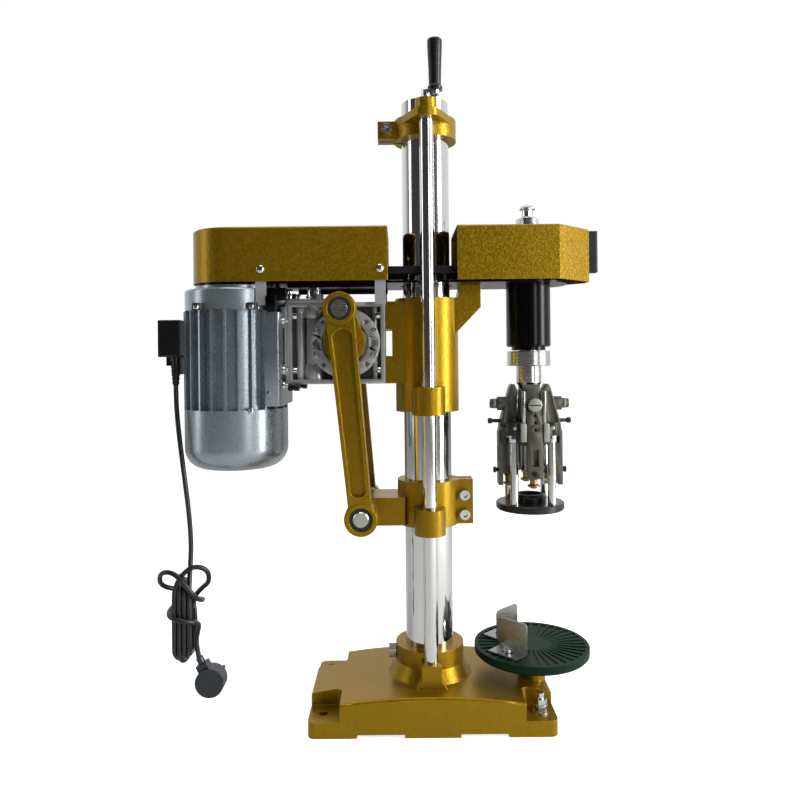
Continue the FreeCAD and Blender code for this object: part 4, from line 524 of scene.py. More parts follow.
TUBE_DEPTH = 19.5
TUBE_END = 46.0
TUBES = [
    # Across, radius, foot and head of each tube
    (WORM_X, 9.6, -TUBE_END, 34.0),
    (WORM_X, 12.5, 32.0, TUBE_END),
    (WORM_X, 11.5, -TUBE_END, -26.0),
    (-56.5, 5.5, -TUBE_END, TUBE_END),
    (36.5, 4.5, -TUBE_END, TUBE_END),
]
TUBE_SHELF_X = (WORM_X - 18.0, WORM_X + 14.0)
TUBE_SHELF_Z = (40.0, TUBE_END)
TIE_NUT_DEPTH = 26.0
TIE_NUT_RISE = 34.0
TIE_NUT_RADIUS = 4.2
TIE_NUT_HEIGHT = 6.0


def gearbox_tubes():
    """The worm's tube, the oil tube beside it, and the tie-bolt nuts inside the frame's rims."""
    tubes = Form("gearbox_tubes", "carriage", "cast_aluminium", GEARBOX)
    nuts = Form("tie_nuts", "carriage", "bright_steel", GEARBOX)
    for side in SIDES:
        for across, radius, foot, top in TUBES:
            tubes.disc("XY", across, side * TUBE_DEPTH, radius, foot, top)
        tubes.block(TUBE_SHELF_X, span(side, TUBE_DEPTH, TIE_NUT_DEPTH), TUBE_SHELF_Z)
        for wall, inward in zip(FRAME_INSIDE, (1.0, -1.0)):
            low, high = sorted((wall, wall + inward * TIE_NUT_HEIGHT))
            for rise in (-TIE_NUT_RISE, TIE_NUT_RISE):
                nuts.disc("YZ", side * TIE_NUT_DEPTH, rise, TIE_NUT_RADIUS, low, high, sides=HEXAGON)
    tubes.make()
    nuts.make()


# Where the gearbox meets the motor, measured from the seam between the motor's frame and the plate
SEAM = dimension("motor_frame", 0, 1)
PLATE_X = (SEAM - 2.0, OUTPUT_X + FRAME_LEFT + 1.5)
PLATE_HALF_DEPTH = 33.0
PLATE_Z = (424.0, 508.0)
SLOT_X = (SEAM + 0.6, SEAM + 2.6)
SLOT_DEPTHS = (31.0, 33.3)
SLOT_Z = (437.0, 482.0)
PAD_LEFT = SEAM - 19.5
PAD_RIGHT = SEAM - 0.1
PAD_CORNER = SEAM - 3.0
PAD_DEPTHS = (46.0, 49.0)
PAD_Z = (386.0, 501.0)
FLANGE_BOLT_RISES = (430.0, 411.0, 490.0)
FLANGE_BOLT_DEPTH = 37.0
FLANGE_NUT_RADIUS = 4.6
FLANGE_NUT_X = (SEAM - 0.5, SEAM + 3.5)
FLANGE_STUD_RADIUS = 2.6
FLANGE_STUD_END = SEAM + 7.5
KNOB_DEPTH = 36.0
KNOB_RISE = 408.5
KNOB_PROFILE = [(0.0, 7.0), (4.2, 7.0), (4.6, 12.0), (2.8, 13.0), (4.4, 14.5), (4.4, 20.5), (0.0, 21.5)]
PAD_SCREW_X = SEAM - 15.0
PAD_SCREW_Z = 402.0
PAD_SCREW_PROFILE = [(0.0, 50.6), (2.4, 50.4), (3.2, 49.0), (0.0, 48.5)]


def motor_join():
    """The plate with its slot, whose shade is painted as a near-black block, the motor's side pad, and the
    bolts and knobs between motor and gearbox.
    """
    plate = Form("flange_plate", "carriage", "cast_aluminium")
    plate.block(PLATE_X, (-PLATE_HALF_DEPTH, PLATE_HALF_DEPTH), PLATE_Z)
    plate.make()
    # Painted shade: a near-black block in the slot stands in for its shadow.
    gap = Form("flange_slot_shade", "carriage", "painted_hole_shade")
    for side in SIDES:
        gap.block(SLOT_X, span(side, *SLOT_DEPTHS), SLOT_Z)
    gap.make(chamfer=0.0)
    corner, edge = PAD_DEPTHS
    pad = Form("motor_side_pad", "carriage", "silver_enamel")
    pad.prism("XY", [(PAD_LEFT, -edge), (PAD_CORNER, -edge), (PAD_RIGHT, -corner), (PAD_RIGHT, corner),
                     (PAD_CORNER, edge), (PAD_LEFT, edge)], *PAD_Z)
    pad.make(chamfer=0.0012)
    bolts = Form("flange_bolts", "carriage", "bright_steel")
    for rise in FLANGE_BOLT_RISES:
        for side in SIDES:
            depth = side * FLANGE_BOLT_DEPTH
            bolts.disc("YZ", depth, rise, FLANGE_NUT_RADIUS, *FLANGE_NUT_X, sides=HEXAGON)
            bolts.disc("YZ", depth, rise, FLANGE_STUD_RADIUS, FLANGE_NUT_X[1], FLANGE_STUD_END, sides=20)
    bolts.make()
    knobs = Form("flange_knobs", "carriage", "black_plastic")
    for side in SIDES:
        profile = [(radius, SEAM + reach) for radius, reach in KNOB_PROFILE]
        knobs.turned("YZ", side * KNOB_DEPTH, KNOB_RISE, profile, 28)
    knobs.make(chamfer=0.0)
    grub = Form("motor_pad_screws", "carriage", "bright_steel")
    for side in SIDES:
        profile = [(radius, side * depth) for radius, depth in PAD_SCREW_PROFILE]
        grub.turned("XZ", PAD_SCREW_X, PAD_SCREW_Z, profile, 24)
    grub.make(chamfer=0.0)


BRACKET_LEG = ((-196.0, -184.0), (40.0, 53.0), (503.0, 520.5))
BRACKET_ARM = ((-194.0, -172.0), (30.0, 49.0), (516.0, 530.0))
STUDS = [
    # Place across and in depth, radius, foot, top and number of sides
    (-146.7, 30.5, 1.9, 502.0, 530.0, 20),
    (-146.7, 30.5, 3.6, 518.5, 521.0, HEXAGON),
    (-168.5, 36.0, 3.2, 521.0, 523.4, HEXAGON),
    (-168.5, 36.0, 3.2, 526.5, 529.2, HEXAGON),
    (-168.5, 36.0, 1.8, 517.0, 530.0, 16),
]


def deck_underside():
    """The black bracket and the studs with their nuts, under the deck's front and back edges."""
    bracket = Form("deck_bracket", "carriage", "black_enamel")
    for side in SIDES:
        for across, depths, rise in (BRACKET_LEG, BRACKET_ARM):
            bracket.block(across, span(side, *depths), rise)
    bracket.make()
    studs = Form("deck_studs", "carriage", "bright_steel")
    for side in SIDES:
        for across, depth, radius, foot, top, sides in STUDS:
            studs.disc("XY", across, side * depth, radius, foot, top, sides=sides)
    studs.make(chamfer=0.0)


TIE_BOLT_ACROSS = 33.0
NOTCH_DEPTH = 58.093
NOTCH_RADIUS = 6.6
NOTCH_Z = (MOTOR_FOOT_Z - 0.5, MOTOR_FOOT_Z + 7.5)
BELL_NUT_DEPTH = 62.006
BELL_NUT_RADIUS = 4.3
BELL_NUT_Z = (MOTOR_FOOT_Z - 0.2, MOTOR_FOOT_Z + 4.0)
BELL_BOLT_RADIUS = 2.4
BELL_BOLT_END = MOTOR_FOOT_Z + 7.0


def bell_nuts():
    """The nuts of the motor's tie bolts, in their notches at the end shield's edge, with the notches' shade
    painted as near-black discs.
    """
    notches = Form("bell_notch_shade", "carriage", "painted_hole_shade")
    nuts = Form("bell_nuts", "carriage", "bright_steel")
    for facing in SIDES:
        for side in SIDES:
            across = MOTOR_X + side * TIE_BOLT_ACROSS
            depth = facing * BELL_NUT_DEPTH
            notches.disc("XY", across, facing * NOTCH_DEPTH, NOTCH_RADIUS, *NOTCH_Z)
            nuts.disc("XY", across, depth, BELL_NUT_RADIUS, *BELL_NUT_Z, sides=HEXAGON)
            nuts.disc("XY", across, depth, BELL_BOLT_RADIUS, BELL_NUT_Z[1], BELL_BOLT_END, sides=20)
    notches.make()
    nuts.make()


LINK_FACE = 75.0
LINK_PARTS = {
    # Look, then (radius, how far it stands out) points
    "rim": ("gold_enamel", [(13.6, 0.0), (19.2, 0.0), (18.6, 1.6), (14.2, 1.6), (13.6, 0.0)]),
    # The groove's near-black is painted shade.
    "groove": ("painted_hole_shade", [(9.0, 0.0), (13.8, 0.0), (13.8, 0.7), (9.0, 0.7), (9.0, 0.0)]),
    "pin": ("dull_steel", [(0.0, 0.3), (1.9, 0.5), (2.2, 1.9), (8.2, 1.9), (9.2, 0.9), (9.2, 0.0)]),
}


def link_faces():
    """The raised rim, the groove with its shade painted near-black, and the pin's face at each eye of both
    links.
    """
    for node, low in (("crank_pins", "upper"), ("pivot_pin", "lower")):
        for side, label in zip(SIDES, ("front", "rear")):
            for part, (look, points) in LINK_PARTS.items():
                eye_part = Form("link_%s_%s_%s" % (part, low, label), "rods", look)
                profile = [(radius, side * (LINK_FACE + out)) for radius, out in points]
                eye_part.turned("XZ", middle(node, 0), middle(node, 2), profile)
                eye_part.make(chamfer=0.0)


DOME_PROFILE = [(29.8, -0.2), (29.2, 0.6), (25.8, 1.2), (23.5, 3.0), (16.0, 5.4), (8.0, 6.6), (0.0, 6.9)]


def column_dome():
    dome = Form("column_dome", "stand", "chrome_plate")
    top = dimension("column", 2, 1)
    dome.turned("XY", 0.0, 0.0, [(radius, top + rise) for radius, rise in DOME_PROFILE], 64)
    dome.make(chamfer=0.0)


SPINDLE_NUT_RADIUS = 15.0
SPINDLE_NUT_HEIGHT = 14.5
KNOB_NECK_PROFILE = [(0.0, 13.0), (12.2, 13.0), (12.2, 15.2), (7.2, 16.6), (7.2, 25.5), (10.0, 26.6),
                     (10.0, 28.0), (8.0, 30.6), (4.0, 32.2), (0.0, 32.6)]


def spindle_knob():
    """The hexagon nut at the spindle's top, with a mushroom knob."""
    knob = Form("spindle_knob", "head", "bright_steel", (HEAD_X, 0.0, dimension("spindle_cap", 2, 0)))
    knob.disc("XY", 0.0, 0.0, SPINDLE_NUT_RADIUS, 0.0, SPINDLE_NUT_HEIGHT, sides=HEXAGON)
    knob.turned("XY", 0.0, 0.0, KNOB_NECK_PROFILE)
    knob.make("spindle_cap")


# Capping levers, measured from the head's axis and from the height of the levers' pivots
PIVOT = (HEAD_X, 0.0, PIVOT_Z)
LEVER_SIDES = {"right": 0.0, "rear": 90.0, "left": 180.0, "front": 270.0}
LEVER_FOOT = 49.5
LEVER_TIP = {"right": 64.0, "left": 64.0, "rear": 52.0, "front": 52.0}
LEVER_HALF_WIDTH = 9.5
LEVER_BACK = 20.0
LEVER_TOE = (35.0, 40.5)
LEVER_ABOVE_FOOT = [(15.5, 55.0), (20.0, 13.0), (22.0, -5.0), (28.0, -11.0)]
LEVER_HEAD = [(40.5, 3.0), (38.7, 8.0), (38.7, 13.0), (26.0, 59.0), (23.5, 63.6), (19.5, 63.6)]
LEVER_PANEL = [(24.0, 7.0), (35.5, 7.0), (35.5, 13.0), (25.0, 54.0), (20.5, 54.0)]
LEVER_PANEL_DEPTHS = (8.2, 10.5)
LEVER_WINDOW = [(-4.0, -36.5), (4.0, -36.5), (4.0, -15.8), (-4.0, -15.8)]
LEVER_WINDOW_X = (33.0, 42.0)
LEVER_HOLE_RISES = (25.6, 17.0, 8.3)
LEVER_HOLE_Y = 0.8
LEVER_HOLE_RADIUS = 1.6
LEVER_HOLE_X = (30.0, 42.0)
PIVOT_HOLE_X = 30.0
PIVOT_HOLE_END = 11.0
PIVOT_HOLE_RADIUS = 3.3
BOSS_RISE = 39.0
BOSS_X = (26.0, 41.0)
BOSS_END = 50.0
SCREW_FACE_PROFILE = [(8.4, 40.5), (8.4, 43.6), (7.4, 44.8), (0.0, 45.2)]
SCREW_SLOT = ((44.6, 45.5), (-7.0, 7.0), (38.3, 39.7))
BOSS_RADIUS = 8.8
BOSS_NOSE_RADIUS = 6.0
BOSS_COLLAR = (6.6, 43.5, 46.0)
BOSS_SOCKET = (3.2, 49.8, 50.4)
STOP_RISE = 17.0
STOP_PROFILE = [(0.0, 29.0), (2.4, 29.0), (2.4, 46.0), (1.8, 47.0), (3.6, 48.0), (3.6, 52.4), (3.0, 53.0),
                (0.0, 53.0)]
TOE_KNOB_RISE = 4.0
TOE_KNOB_PROFILE = [(0.0, 40.0), (2.6, 40.0), (2.6, 43.0), (3.9, 43.4), (3.9, 46.4), (0.0, 47.0)]


def lever_arm(side):
    """The arm with its side panels, window, row of holes and pivot hole."""
    tip = LEVER_TIP[side]
    arm = Form("capping_lever_" + side, side + "_lever", "lever_steel", PIVOT, LEVER_SIDES[side])
    foot = [(28.0, 12.0 - LEVER_FOOT), (LEVER_BACK, 6.0 - LEVER_FOOT), (LEVER_BACK, -LEVER_FOOT),
            (LEVER_TOE[0], -LEVER_FOOT), (LEVER_TOE[0], -tip), (LEVER_TOE[1], -tip)]
    arm.prism("XZ", LEVER_ABOVE_FOOT + foot + LEVER_HEAD, -LEVER_HALF_WIDTH, LEVER_HALF_WIDTH)
    for flank in SIDES:
        arm.prism("XZ", LEVER_PANEL, *span(flank, *LEVER_PANEL_DEPTHS), arm.tool)
    arm.prism("YZ", LEVER_WINDOW, *LEVER_WINDOW_X, arm.tool)
    for rise in LEVER_HOLE_RISES:
        arm.disc("YZ", LEVER_HOLE_Y, rise, LEVER_HOLE_RADIUS, *LEVER_HOLE_X, arm.tool, 20)
    arm.disc("XZ", PIVOT_HOLE_X, 0.0, PIVOT_HOLE_RADIUS, -PIVOT_HOLE_END, PIVOT_HOLE_END, arm.tool, 28)
    arm.make("lever_" + side)


def lever_screws(side):
    """The boss with its screw: slotted on the front and rear levers, long with a hexagon on the others."""
    body = side + "_lever"
    turn = LEVER_SIDES[side]
    boss = Form("lever_boss_" + side, body, "lever_steel", PIVOT, turn)
    boss.disc("YZ", 0.0, BOSS_RISE, BOSS_RADIUS, *BOSS_X)
    screw = Form("lever_screw_" + side, body, "dull_steel", PIVOT, turn)
    # Painted shade: a near-black slot, and on the long screws a hexagon socket, stand in for the shade inside
    # the screw's recess.
    slot = Form("lever_screw_slot_shade_" + side, body, "painted_hole_shade", PIVOT, turn)
    if side in ("front", "rear"):
        boss.make()
        screw.turned("YZ", 0.0, BOSS_RISE, SCREW_FACE_PROFILE, 48)
        slot.block(*SCREW_SLOT)
    else:
        boss.disc("YZ", 0.0, BOSS_RISE, BOSS_NOSE_RADIUS, BOSS_X[1], BOSS_END)
        boss.make()
        screw.disc("YZ", 0.0, BOSS_RISE, *BOSS_COLLAR)
        slot.disc("YZ", 0.0, BOSS_RISE, *BOSS_SOCKET, sides=HEXAGON)
    screw.make()
    slot.make(chamfer=0.0)
    if side in ("left", "right"):
        stop = Form("stop_screw_" + side, body, "black_oxide", PIVOT, turn)
        stop.turned("YZ", 0.0, STOP_RISE, STOP_PROFILE, 28)
        stop.make()
    toe = Form("toe_knob_" + side, body, "black_oxide", PIVOT, turn)
    toe.turned("YZ", 0.0, TOE_KNOB_RISE - LEVER_FOOT, TOE_KNOB_PROFILE, 28)
    toe.make()


ROLLER_RING = 26.0
ROLLER_DROP = LEVER_FOOT + 14.0
ROLLER_PROFILE = [(2.7, 0.2), (7.5, 0.2), (7.5, 2.4), (4.6, 3.8), (4.6, 9.4), (6.6, 10.6), (6.6, 12.2),
                  (5.6, 13.8), (2.7, 13.8), (2.7, 0.2)]
ROLLER_PIN_PROFILE = [(0.0, -1.6), (3.8, -1.6), (3.8, -0.1), (2.4, -0.1), (2.4, 16.0), (0.0, 16.0)]
ROLLER_CAP_PROFILE = [(0.0, 14.2), (9.2, 14.2), (9.2, 16.4), (6.4, 17.4), (6.4, 20.4), (0.0, 20.4)]


def roller(side):
    """One brass spool on its pin, under its lever's foot."""
    turn = math.radians(LEVER_SIDES[side])
    centre = (HEAD_X + ROLLER_RING * math.cos(turn), ROLLER_RING * math.sin(turn), PIVOT_Z - ROLLER_DROP)
    spool = Form("seaming_roller_" + side, side + "_roller", "brass", centre)
    spool.turned("XY", 0.0, 0.0, ROLLER_PROFILE)
    spool.make("roller_" + side, chamfer=0.0)
    pin = Form("roller_pin_" + side, side + "_lever", "black_oxide", centre)
    pin.turned("XY", 0.0, 0.0, ROLLER_PIN_PROFILE, 28)
    pin.turned("XY", 0.0, 0.0, ROLLER_CAP_PROFILE, 36)
    pin.make(chamfer=0.0)


# Carrier of the levers, measured from the head's axis
HEAD_AXIS = (HEAD_X, 0.0, 0.0)
CARRIER_LOW = dimension("head_carrier", 2, 0)
CARRIER_HIGH = dimension("head_carrier", 2, 1)
CARRIER_RADIUS = 39.8
RING_LOW = CARRIER_LOW + 4.0
NOSE_BORE = 8.1
NOSE_BORE_LOW = CARRIER_LOW + 9.0
BLOCK_BORE = 11.4
BLOCK_BORE_TOP = CARRIER_LOW + 9.3
LEVER_SLOT = [(17.0, -10.0), (41.0, -10.0), (41.0, 10.0), (17.0, 10.0)]
POST_ASIDE = 23.33
POST_CLEAR = 11.0
POST_CLEAR_TOP = CARRIER_LOW + 14.0
POST_BOSS = (9.6, CARRIER_HIGH - 9.0, CARRIER_HIGH + 5.5)
POST_COLLAR = (6.6, CARRIER_LOW + 6.0, CARRIER_LOW + 14.2)
POST_SCREW_Z = CARRIER_HIGH - 1.0
POST_SCREW_PROFILE = [(0.0, 10.6), (1.8, 10.4), (2.6, 9.4), (0.0, 8.0)]
FORK = ((11.0, 14.6), (25.0, 36.5), (CARRIER_HIGH - 1.0, CARRIER_HIGH + 45.0))
FORK_BLOCK = ((10.6, 17.4), (29.0, 41.5), (CARRIER_LOW + 8.0, CARRIER_HIGH + 5.0))


def carrier():
    """The ring with four slots for the levers, cleared round the posts and bored for the pressure block."""
    ring = Form("lever_carrier", "head", "black_oxide", HEAD_AXIS)
    ring.disc("XY", 0.0, 0.0, CARRIER_RADIUS, RING_LOW, CARRIER_HIGH, sides=72)
    ring.disc("XY", 0.0, 0.0, NOSE_BORE, NOSE_BORE_LOW, CARRIER_HIGH + CUT_CLEAR, ring.tool)
    ring.disc("XY", 0.0, 0.0, BLOCK_BORE, CARRIER_LOW, BLOCK_BORE_TOP, ring.tool)
    for turn in LEVER_SIDES.values():
        spin = Matrix.Rotation(math.radians(turn), 2)
        corners = [tuple(spin @ Vector(spot)) for spot in LEVER_SLOT]
        ring.prism("XY", corners, CARRIER_LOW, CARRIER_HIGH + CUT_CLEAR, ring.tool)
        post = spin @ Vector((POST_ASIDE, POST_ASIDE))
        ring.disc("XY", post.x, post.y, POST_CLEAR, CARRIER_LOW, POST_CLEAR_TOP, ring.tool, 36)
    ring.make("head_carrier")


def carrier_parts():
    """The bosses over the posts with their screws and collars, and the bright forks with their blocks."""
    bosses = Form("post_bosses", "head", "black_oxide", HEAD_AXIS)
    dots = Form("post_screws", "head", "bright_steel", HEAD_AXIS)
    collars = Form("post_collars", "head", "chrome_plate", HEAD_AXIS)
    forks = Form("lever_forks", "head", "turned_steel", HEAD_AXIS)
    blocks = Form("fork_blocks", "head", "dull_steel", HEAD_AXIS)
    for across in SIDES:
        for depth in SIDES:
            x = across * POST_ASIDE
            y = depth * POST_ASIDE
            bosses.disc("XY", x, y, *POST_BOSS, sides=36)
            profile = [(radius, y + depth * out) for radius, out in POST_SCREW_PROFILE]
            dots.turned("XZ", x, POST_SCREW_Z, profile, 20)
            collars.disc("XY", x, y, *POST_COLLAR)
            for form, (widths, depths, rise) in ((forks, FORK), (blocks, FORK_BLOCK)):
                form.block(span(across, *widths), span(depth, *depths), rise)
    bosses.make()
    dots.make(chamfer=0.0)
    collars.make()
    forks.make()
    blocks.make()


# Screws of the covers, and where the photograph shows the fan cover's screw, in pixels
COVER_SCREW_X = (-202.0, -57.7)
COVER_SCREW_Z = 552.3
COVER_SCREW_PROFILE = [(0.0, 2.4), (3.0, 2.1), (4.7, 1.0), (4.9, -0.5), (0.0, -0.5)]
COVER_CROSS_DEPTHS = (1.6, 2.6)
COVER_CROSS = (2.3, 0.5)
FLANGE_PROFILE = [(29.0, 0.1), (32.0, 0.1), (32.0, 4.0), (31.0, 5.0), (29.0, 5.0), (29.0, 0.1)]
FAN_SCREW_PIXEL = (250.0, 411.5)
FAN_SCREW_PROFILE = [(0.0, -2.2), (2.52, -1.9), (4.2, -0.88), (4.2, 1.0), (0.0, 1.0)]
FAN_CROSS_DEPTHS = (-3.2, -1.1)
FAN_CROSS = (2.31, 0.588)


def cover_screws():
    """The left cover's four cross-recessed screws, with the shade in their crosses painted as near-black
    blocks, and the ring round the spindle housing on the deck.
    """
    screws = Form("cover_screws", "carriage", "bright_steel")
    # Painted shade: near-black blocks stand in for the shade in the screws' cross recesses.
    crosses = Form("cover_screw_cross_shade", "carriage", "painted_hole_shade")
    for x in COVER_SCREW_X:
        for side, end in zip(SIDES, (0, 1)):
            face = dimension("left_cover", 1, end)
            profile = [(radius, face + side * out) for radius, out in COVER_SCREW_PROFILE]
            screws.turned("XZ", x, COVER_SCREW_Z, profile, 32)
            depth = sorted(face + side * out for out in COVER_CROSS_DEPTHS)
            for wide, tall in (COVER_CROSS, COVER_CROSS[::-1]):
                crosses.block((x - wide, x + wide), depth, (COVER_SCREW_Z - tall, COVER_SCREW_Z + tall))
    crosses.make(chamfer=0.0)
    screws.make("carriage_fasteners", chamfer=0.0)
    flange = Form("spindle_flange", "carriage", "zinc_steel", (HEAD_X, 0.0, dimension("deck_plate", 2, 1)))
    flange.turned("XY", 0.0, 0.0, FLANGE_PROFILE, 64)
    flange.make(chamfer=0.0)


def seen(node, column, row):
    """The point of a node that the photograph shows at a pixel."""
    scale = eye.sensor_width / eye.lens / PHOTO_PIXELS
    aim = Vector(((column - PHOTO_CENTRE[0]) * scale, (PHOTO_CENTRE[1] - row) * scale, -1.0))
    aim.rotate(camera.rotation_euler)
    return nodes[node].ray_cast(camera.location, aim.normalized())[1] * METRES_TO_MM


def fan_cover_screw():
    """The cross-recessed pan head on the fan cover's front."""
    place = seen("fan_cover", *FAN_SCREW_PIXEL)
    head = Form("fan_cover_screw", "carriage", "bright_steel")
    profile = [(radius, place.y + depth) for radius, depth in FAN_SCREW_PROFILE]
    head.turned("XZ", place.x, place.z, profile, 32)
    cross_depth = [place.y + depth for depth in FAN_CROSS_DEPTHS]
    for wide, tall in (FAN_CROSS, FAN_CROSS[::-1]):
        head.block((place.x - wide, place.x + wide), cross_depth, (place.z - tall, place.z + tall), head.tool)
    head.make(chamfer=0.0)


gearbox_frame()
gearbox_faces()
gearbox_tubes()
motor_join()
deck_underside()
bell_nuts()
link_faces()
column_dome()
spindle_knob()
carrier()
carrier_parts()
for side_name in LEVER_SIDES:
    lever_arm(side_name)
    lever_screws(side_name)
    roller(side_name)
cover_screws()
fan_cover_screw()

# Mains cord: control points in millimetres, and the hank's turns between them
CORD_DROP = [
    (-314.0, -24.0, 437.4), (-314.0, -24.0, 422.0), (-314.0, -24.0, 403.0), (-311.0, -31.0, 378.0),
    (-304.0, -42.0, 342.0), (-297.0, -48.0, 300.0), (-293.0, -45.0, 258.0), (-291.6, -41.5, 220.0),
    (-292.0, -44.0, 196.0), (-291.5, -52.0, 172.0),
]
CORD_RADIUS = 0.003
HANK_FRONT_Y = -55.0
HANK_BACK_Y = -25.0
FRONT_RUN_TOP = 148.0
FRONT_RUN_FOOT = 126.0
BACK_RUN_MIDDLE = 128.0
HANK_TURNS = [
    # Front run's x, back run's x, level of the fold at the foot, level of the fold at the head
    (-291.0, -304.0, 99.0, 160.0),
    (-297.0, -309.5, 96.0, 164.0),
    (-303.0, -298.0, 92.5, None),
    (-309.0, -292.5, 95.0, None),
]
TURN_BEFORE_LOOP = 2
FOLD_RADIUS = 15.0
FOLD_CORNER = 22.5
FOLD_LEAN = 0.3
TOP_RIGHT_LOOP = [
    (-294.0, -25.0, 149.0), (-283.0, -28.0, 161.0), (-271.0, -36.0, 171.0), (-271.0, -45.0, 189.0),
    (-287.0, -51.0, 195.0), (-301.0, -54.0, 184.0), (-308.5, -55.0, 168.0),
]
TOP_LEFT_LOOP = [
    (-296.0, -22.0, 148.0), (-308.0, -21.0, 157.0), (-323.0, -29.0, 161.0), (-331.0, -42.0, 171.0),
    (-326.0, -52.0, 188.0), (-308.0, -58.0, 189.0), (-293.0, -61.0, 174.0), (-284.0, -58.0, 160.0),
]
TYING_WRAP = [
    (-280.0, -42.0, 150.0), (-282.0, -24.0, 146.0), (-297.0, -17.0, 143.5), (-312.0, -20.0, 141.0),
    (-320.0, -36.0, 138.5), (-316.0, -56.0, 136.0), (-302.0, -64.0, 133.5), (-287.0, -60.0, 130.0),
    (-281.0, -47.0, 124.0),
]
CORD_TAIL = [(-285.0, -40.0, 112.0), (-288.0, -39.5, 98.0), (-284.0, -40.0, 80.3)]


def fold(start, end, level, step):
    """A half turn from one run of the hank to the other: upward where step is 1, downward where it is -1."""
    side = FOLD_RADIUS * math.tan(math.radians(FOLD_CORNER))
    middle_y = (start[1] + end[1]) / 2.0
    across = side if end[1] > start[1] else -side
    lean = (end[0] - start[0]) * FOLD_LEAN
    return [
        (start[0], start[1], level - step * side), (start[0], start[1], level + step * side),
        (start[0] + lean, middle_y - across, level + step * FOLD_RADIUS),
        (end[0] - lean, middle_y + across, level + step * FOLD_RADIUS),
        (end[0], end[1], level + step * side), (end[0], end[1], level - step * side),
    ]


def cord_route():
    """The cord's control points, from the gland through the hank's turns to the plug."""
    points = list(CORD_DROP)
    for index, (front_x, back_x, foot, head) in enumerate(HANK_TURNS):
        front = (front_x, HANK_FRONT_Y)
        back = (back_x, HANK_BACK_Y)
        points += [(front_x, HANK_FRONT_Y, FRONT_RUN_TOP), (front_x, HANK_FRONT_Y, FRONT_RUN_FOOT)]
        points += fold(front, back, foot, -1.0)
        points += [(back_x, HANK_BACK_Y, BACK_RUN_MIDDLE)]
        if head:
            points += fold(back, (HANK_TURNS[index + 1][0], HANK_FRONT_Y), head, 1.0)
        elif index == TURN_BEFORE_LOOP:
            points += TOP_RIGHT_LOOP
    return points + TOP_LEFT_LOOP + TYING_WRAP + CORD_TAIL


RELIEF_BORE = 3.06
RELIEF_RADIUS = 5.8
RELIEF_TAPER = 0.4
RELIEF_PITCH = 5.0
RELIEF_RIBS = 5
RIB_HEIGHT = 3.4
RIB_SLOPE = 0.4
RIB_DEPTH = 0.7


def strain_relief():
    """The tapered, ribbed sleeve round the cord where it leaves the gland."""
    x, y, top = CORD_DROP[0]
    profile = [(RELIEF_BORE, top)]
    for rib in range(RELIEF_RIBS):
        level = top - rib * RELIEF_PITCH
        radius = RELIEF_RADIUS - rib * RELIEF_TAPER
        waist = radius - RIB_DEPTH
        profile += [(radius, level), (radius, level - RIB_HEIGHT), (waist, level - RIB_HEIGHT - RIB_SLOPE),
                    (waist, level - RELIEF_PITCH)]
    profile += [(RELIEF_BORE, top - RELIEF_RIBS * RELIEF_PITCH), (RELIEF_BORE, top)]
    sleeve = Form("cord_strain_relief", "carriage", "black_rubber", (x, y, 0.0))
    sleeve.turned("XY", 0.0, 0.0, profile, 32)
    sleeve.make(chamfer=0.0)


def metres(points):
    return [Vector(point) * MM_TO_METRES for point in points]


def spline_piece(name, points, radius, look):
    curve = bpy.data.curves.new(name, "CURVE")
    curve.dimensions = "3D"
    curve.resolution_u = 8
    curve.bevel_depth = radius
    curve.bevel_resolution = 5
    curve.use_fill_caps = True
    line = curve.splines.new("NURBS")
    line.points.add(len(points) - 1)
    for point, place in zip(line.points, points):
        point.co = (*place, 1.0)
    line.order_u = 3
    line.use_endpoint_u = True
    curve.materials.append(look)
    piece = bpy.data.objects.new(name, curve)
    bpy.context.scene.collection.objects.link(piece)
    return piece


cord = spline_piece("mains_cord", metres(cord_route()), CORD_RADIUS, looks["cord_sheath"])
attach(cord, "carriage")
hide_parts("cord_drop", "cord_hank", "cord_tail")
strain_relief()

# Studio: a white backdrop behind and beside the machine, a dim room in front of it, four soft lamps
TOWARD_BACKDROP = (0.34, 0.94, 0.0)
ROOM_EDGE = -0.50
BACKDROP_EDGE = 0.30
ROOM_LIGHT = 0.06
BACKDROP_LIGHT = 1.0
DIFFUSE_SHARE = 0.55
world = bpy.data.worlds.new("studio")
world.use_nodes = True
bpy.context.scene.world = world
sky = world.node_tree


def sky_math(operation, first, second):
    node = sky.nodes.new("ShaderNodeMath")
    node.operation = operation
    for socket, source in zip(node.inputs, (first, second)):
        if isinstance(source, float):
            socket.default_value = source
        else:
            sky.links.new(source, socket)
    return node.outputs[0]


paths = sky.nodes.new("ShaderNodeLightPath").outputs
toward = sky.nodes.new("ShaderNodeVectorMath")
toward.operation = "DOT_PRODUCT"
toward.inputs[1].default_value = TOWARD_BACKDROP
sky.links.new(sky.nodes.new("ShaderNodeTexCoord").outputs["Generated"], toward.inputs[0])
room = sky.nodes.new("ShaderNodeMapRange")
room.interpolation_type = "SMOOTHSTEP"
room.inputs["From Min"].default_value = ROOM_EDGE
room.inputs["From Max"].default_value = BACKDROP_EDGE
room.inputs["To Min"].default_value = ROOM_LIGHT
room.inputs["To Max"].default_value = BACKDROP_LIGHT
sky.links.new(toward.outputs["Value"], room.inputs["Value"])
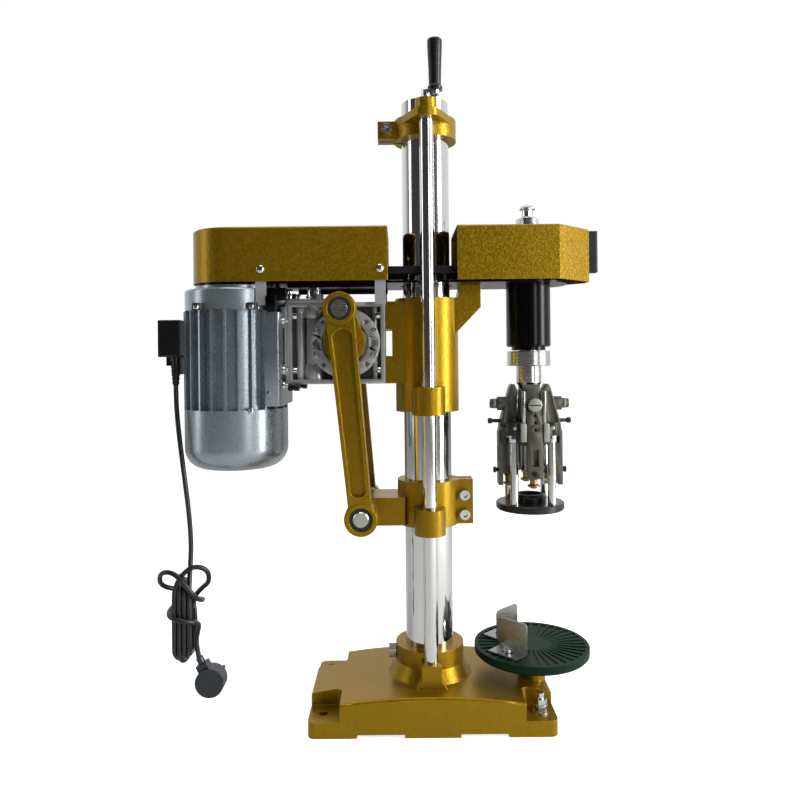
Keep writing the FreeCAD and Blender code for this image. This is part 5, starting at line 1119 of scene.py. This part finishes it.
# Metal mirrors the backdrop at its full white; the diffuse light that it gives is weaker
mirror = sky_math("MAXIMUM", paths["Is Glossy Ray"], DIFFUSE_SHARE)
ambient = sky_math("MULTIPLY", room.outputs["Result"], mirror)
shown = sky_math("MAXIMUM", paths["Is Camera Ray"], paths["Is Transmission Ray"])
strength = sky_math("MAXIMUM", ambient, shown)
sky.nodes["Background"].inputs["Color"].default_value = (1.0, 1.0, 1.0, 1.0)
sky.links.new(strength, sky.nodes["Background"].inputs["Strength"])


def lamp(name, place, target, size, watts):
    light = bpy.data.lights.new(name, "AREA")
    light.shape = "RECTANGLE"
    light.size, light.size_y = size
    light.energy = watts
    piece = bpy.data.objects.new(name, light)
    piece.location = place
    aim = Vector(target) - Vector(place)
    piece.rotation_euler = aim.to_track_quat("-Z", "Y").to_euler()
    bpy.context.scene.collection.objects.link(piece)


lamp("key_right", (1.55, -0.55, 0.75), (0.0, 0.0, 0.45), (0.45, 1.5), 36.0)
lamp("front_right", (0.95, -1.55, 0.85), (0.0, 0.0, 0.4), (0.28, 1.3), 8.5)
lamp("left", (-1.6, -0.25, 0.8), (0.0, 0.0, 0.45), (0.35, 1.3), 4.5)
lamp("top", (-0.1, -0.5, 2.0), (0.0, 0.0, 0.3), (1.1, 0.7), 9.0)

FLOOR_REACH = 9.0
FLOOR_DROP = 0.0005
FLOOR_GLOW = 0.78
floor_mesh = bpy.data.meshes.new("floor")
corners = [(x * FLOOR_REACH, y * FLOOR_REACH, 0.0) for x, y in ((-1, -1), (1, -1), (1, 1), (-1, 1))]
floor_mesh.from_pydata(corners, [], [(0, 1, 2, 3)])
floor = bpy.data.objects.new("floor", floor_mesh)
floor.location = (0.0, 0.0, -FLOOR_DROP)
bpy.context.scene.collection.objects.link(floor)
pale = Shader("floor_pale", (0.86, 0.86, 0.86), 0.85)
pale.bump(pale.noise(40.0, 2.0), 0.02, 0.001)
path = pale.nodes.new("ShaderNodeLightPath")
glow = pale.nodes.new("ShaderNodeMath")
glow.operation = "MULTIPLY"
glow.inputs[1].default_value = FLOOR_GLOW
pale.link(path.outputs["Is Camera Ray"], glow.inputs[0])
pale.link(glow.outputs[0], pale.bsdf.inputs["Emission Strength"])
pale.put("Emission Color", (1.0, 1.0, 1.0, 1.0))
floor_mesh.materials.append(pale.material)

bpy.context.scene.view_settings.view_transform = "Standard"
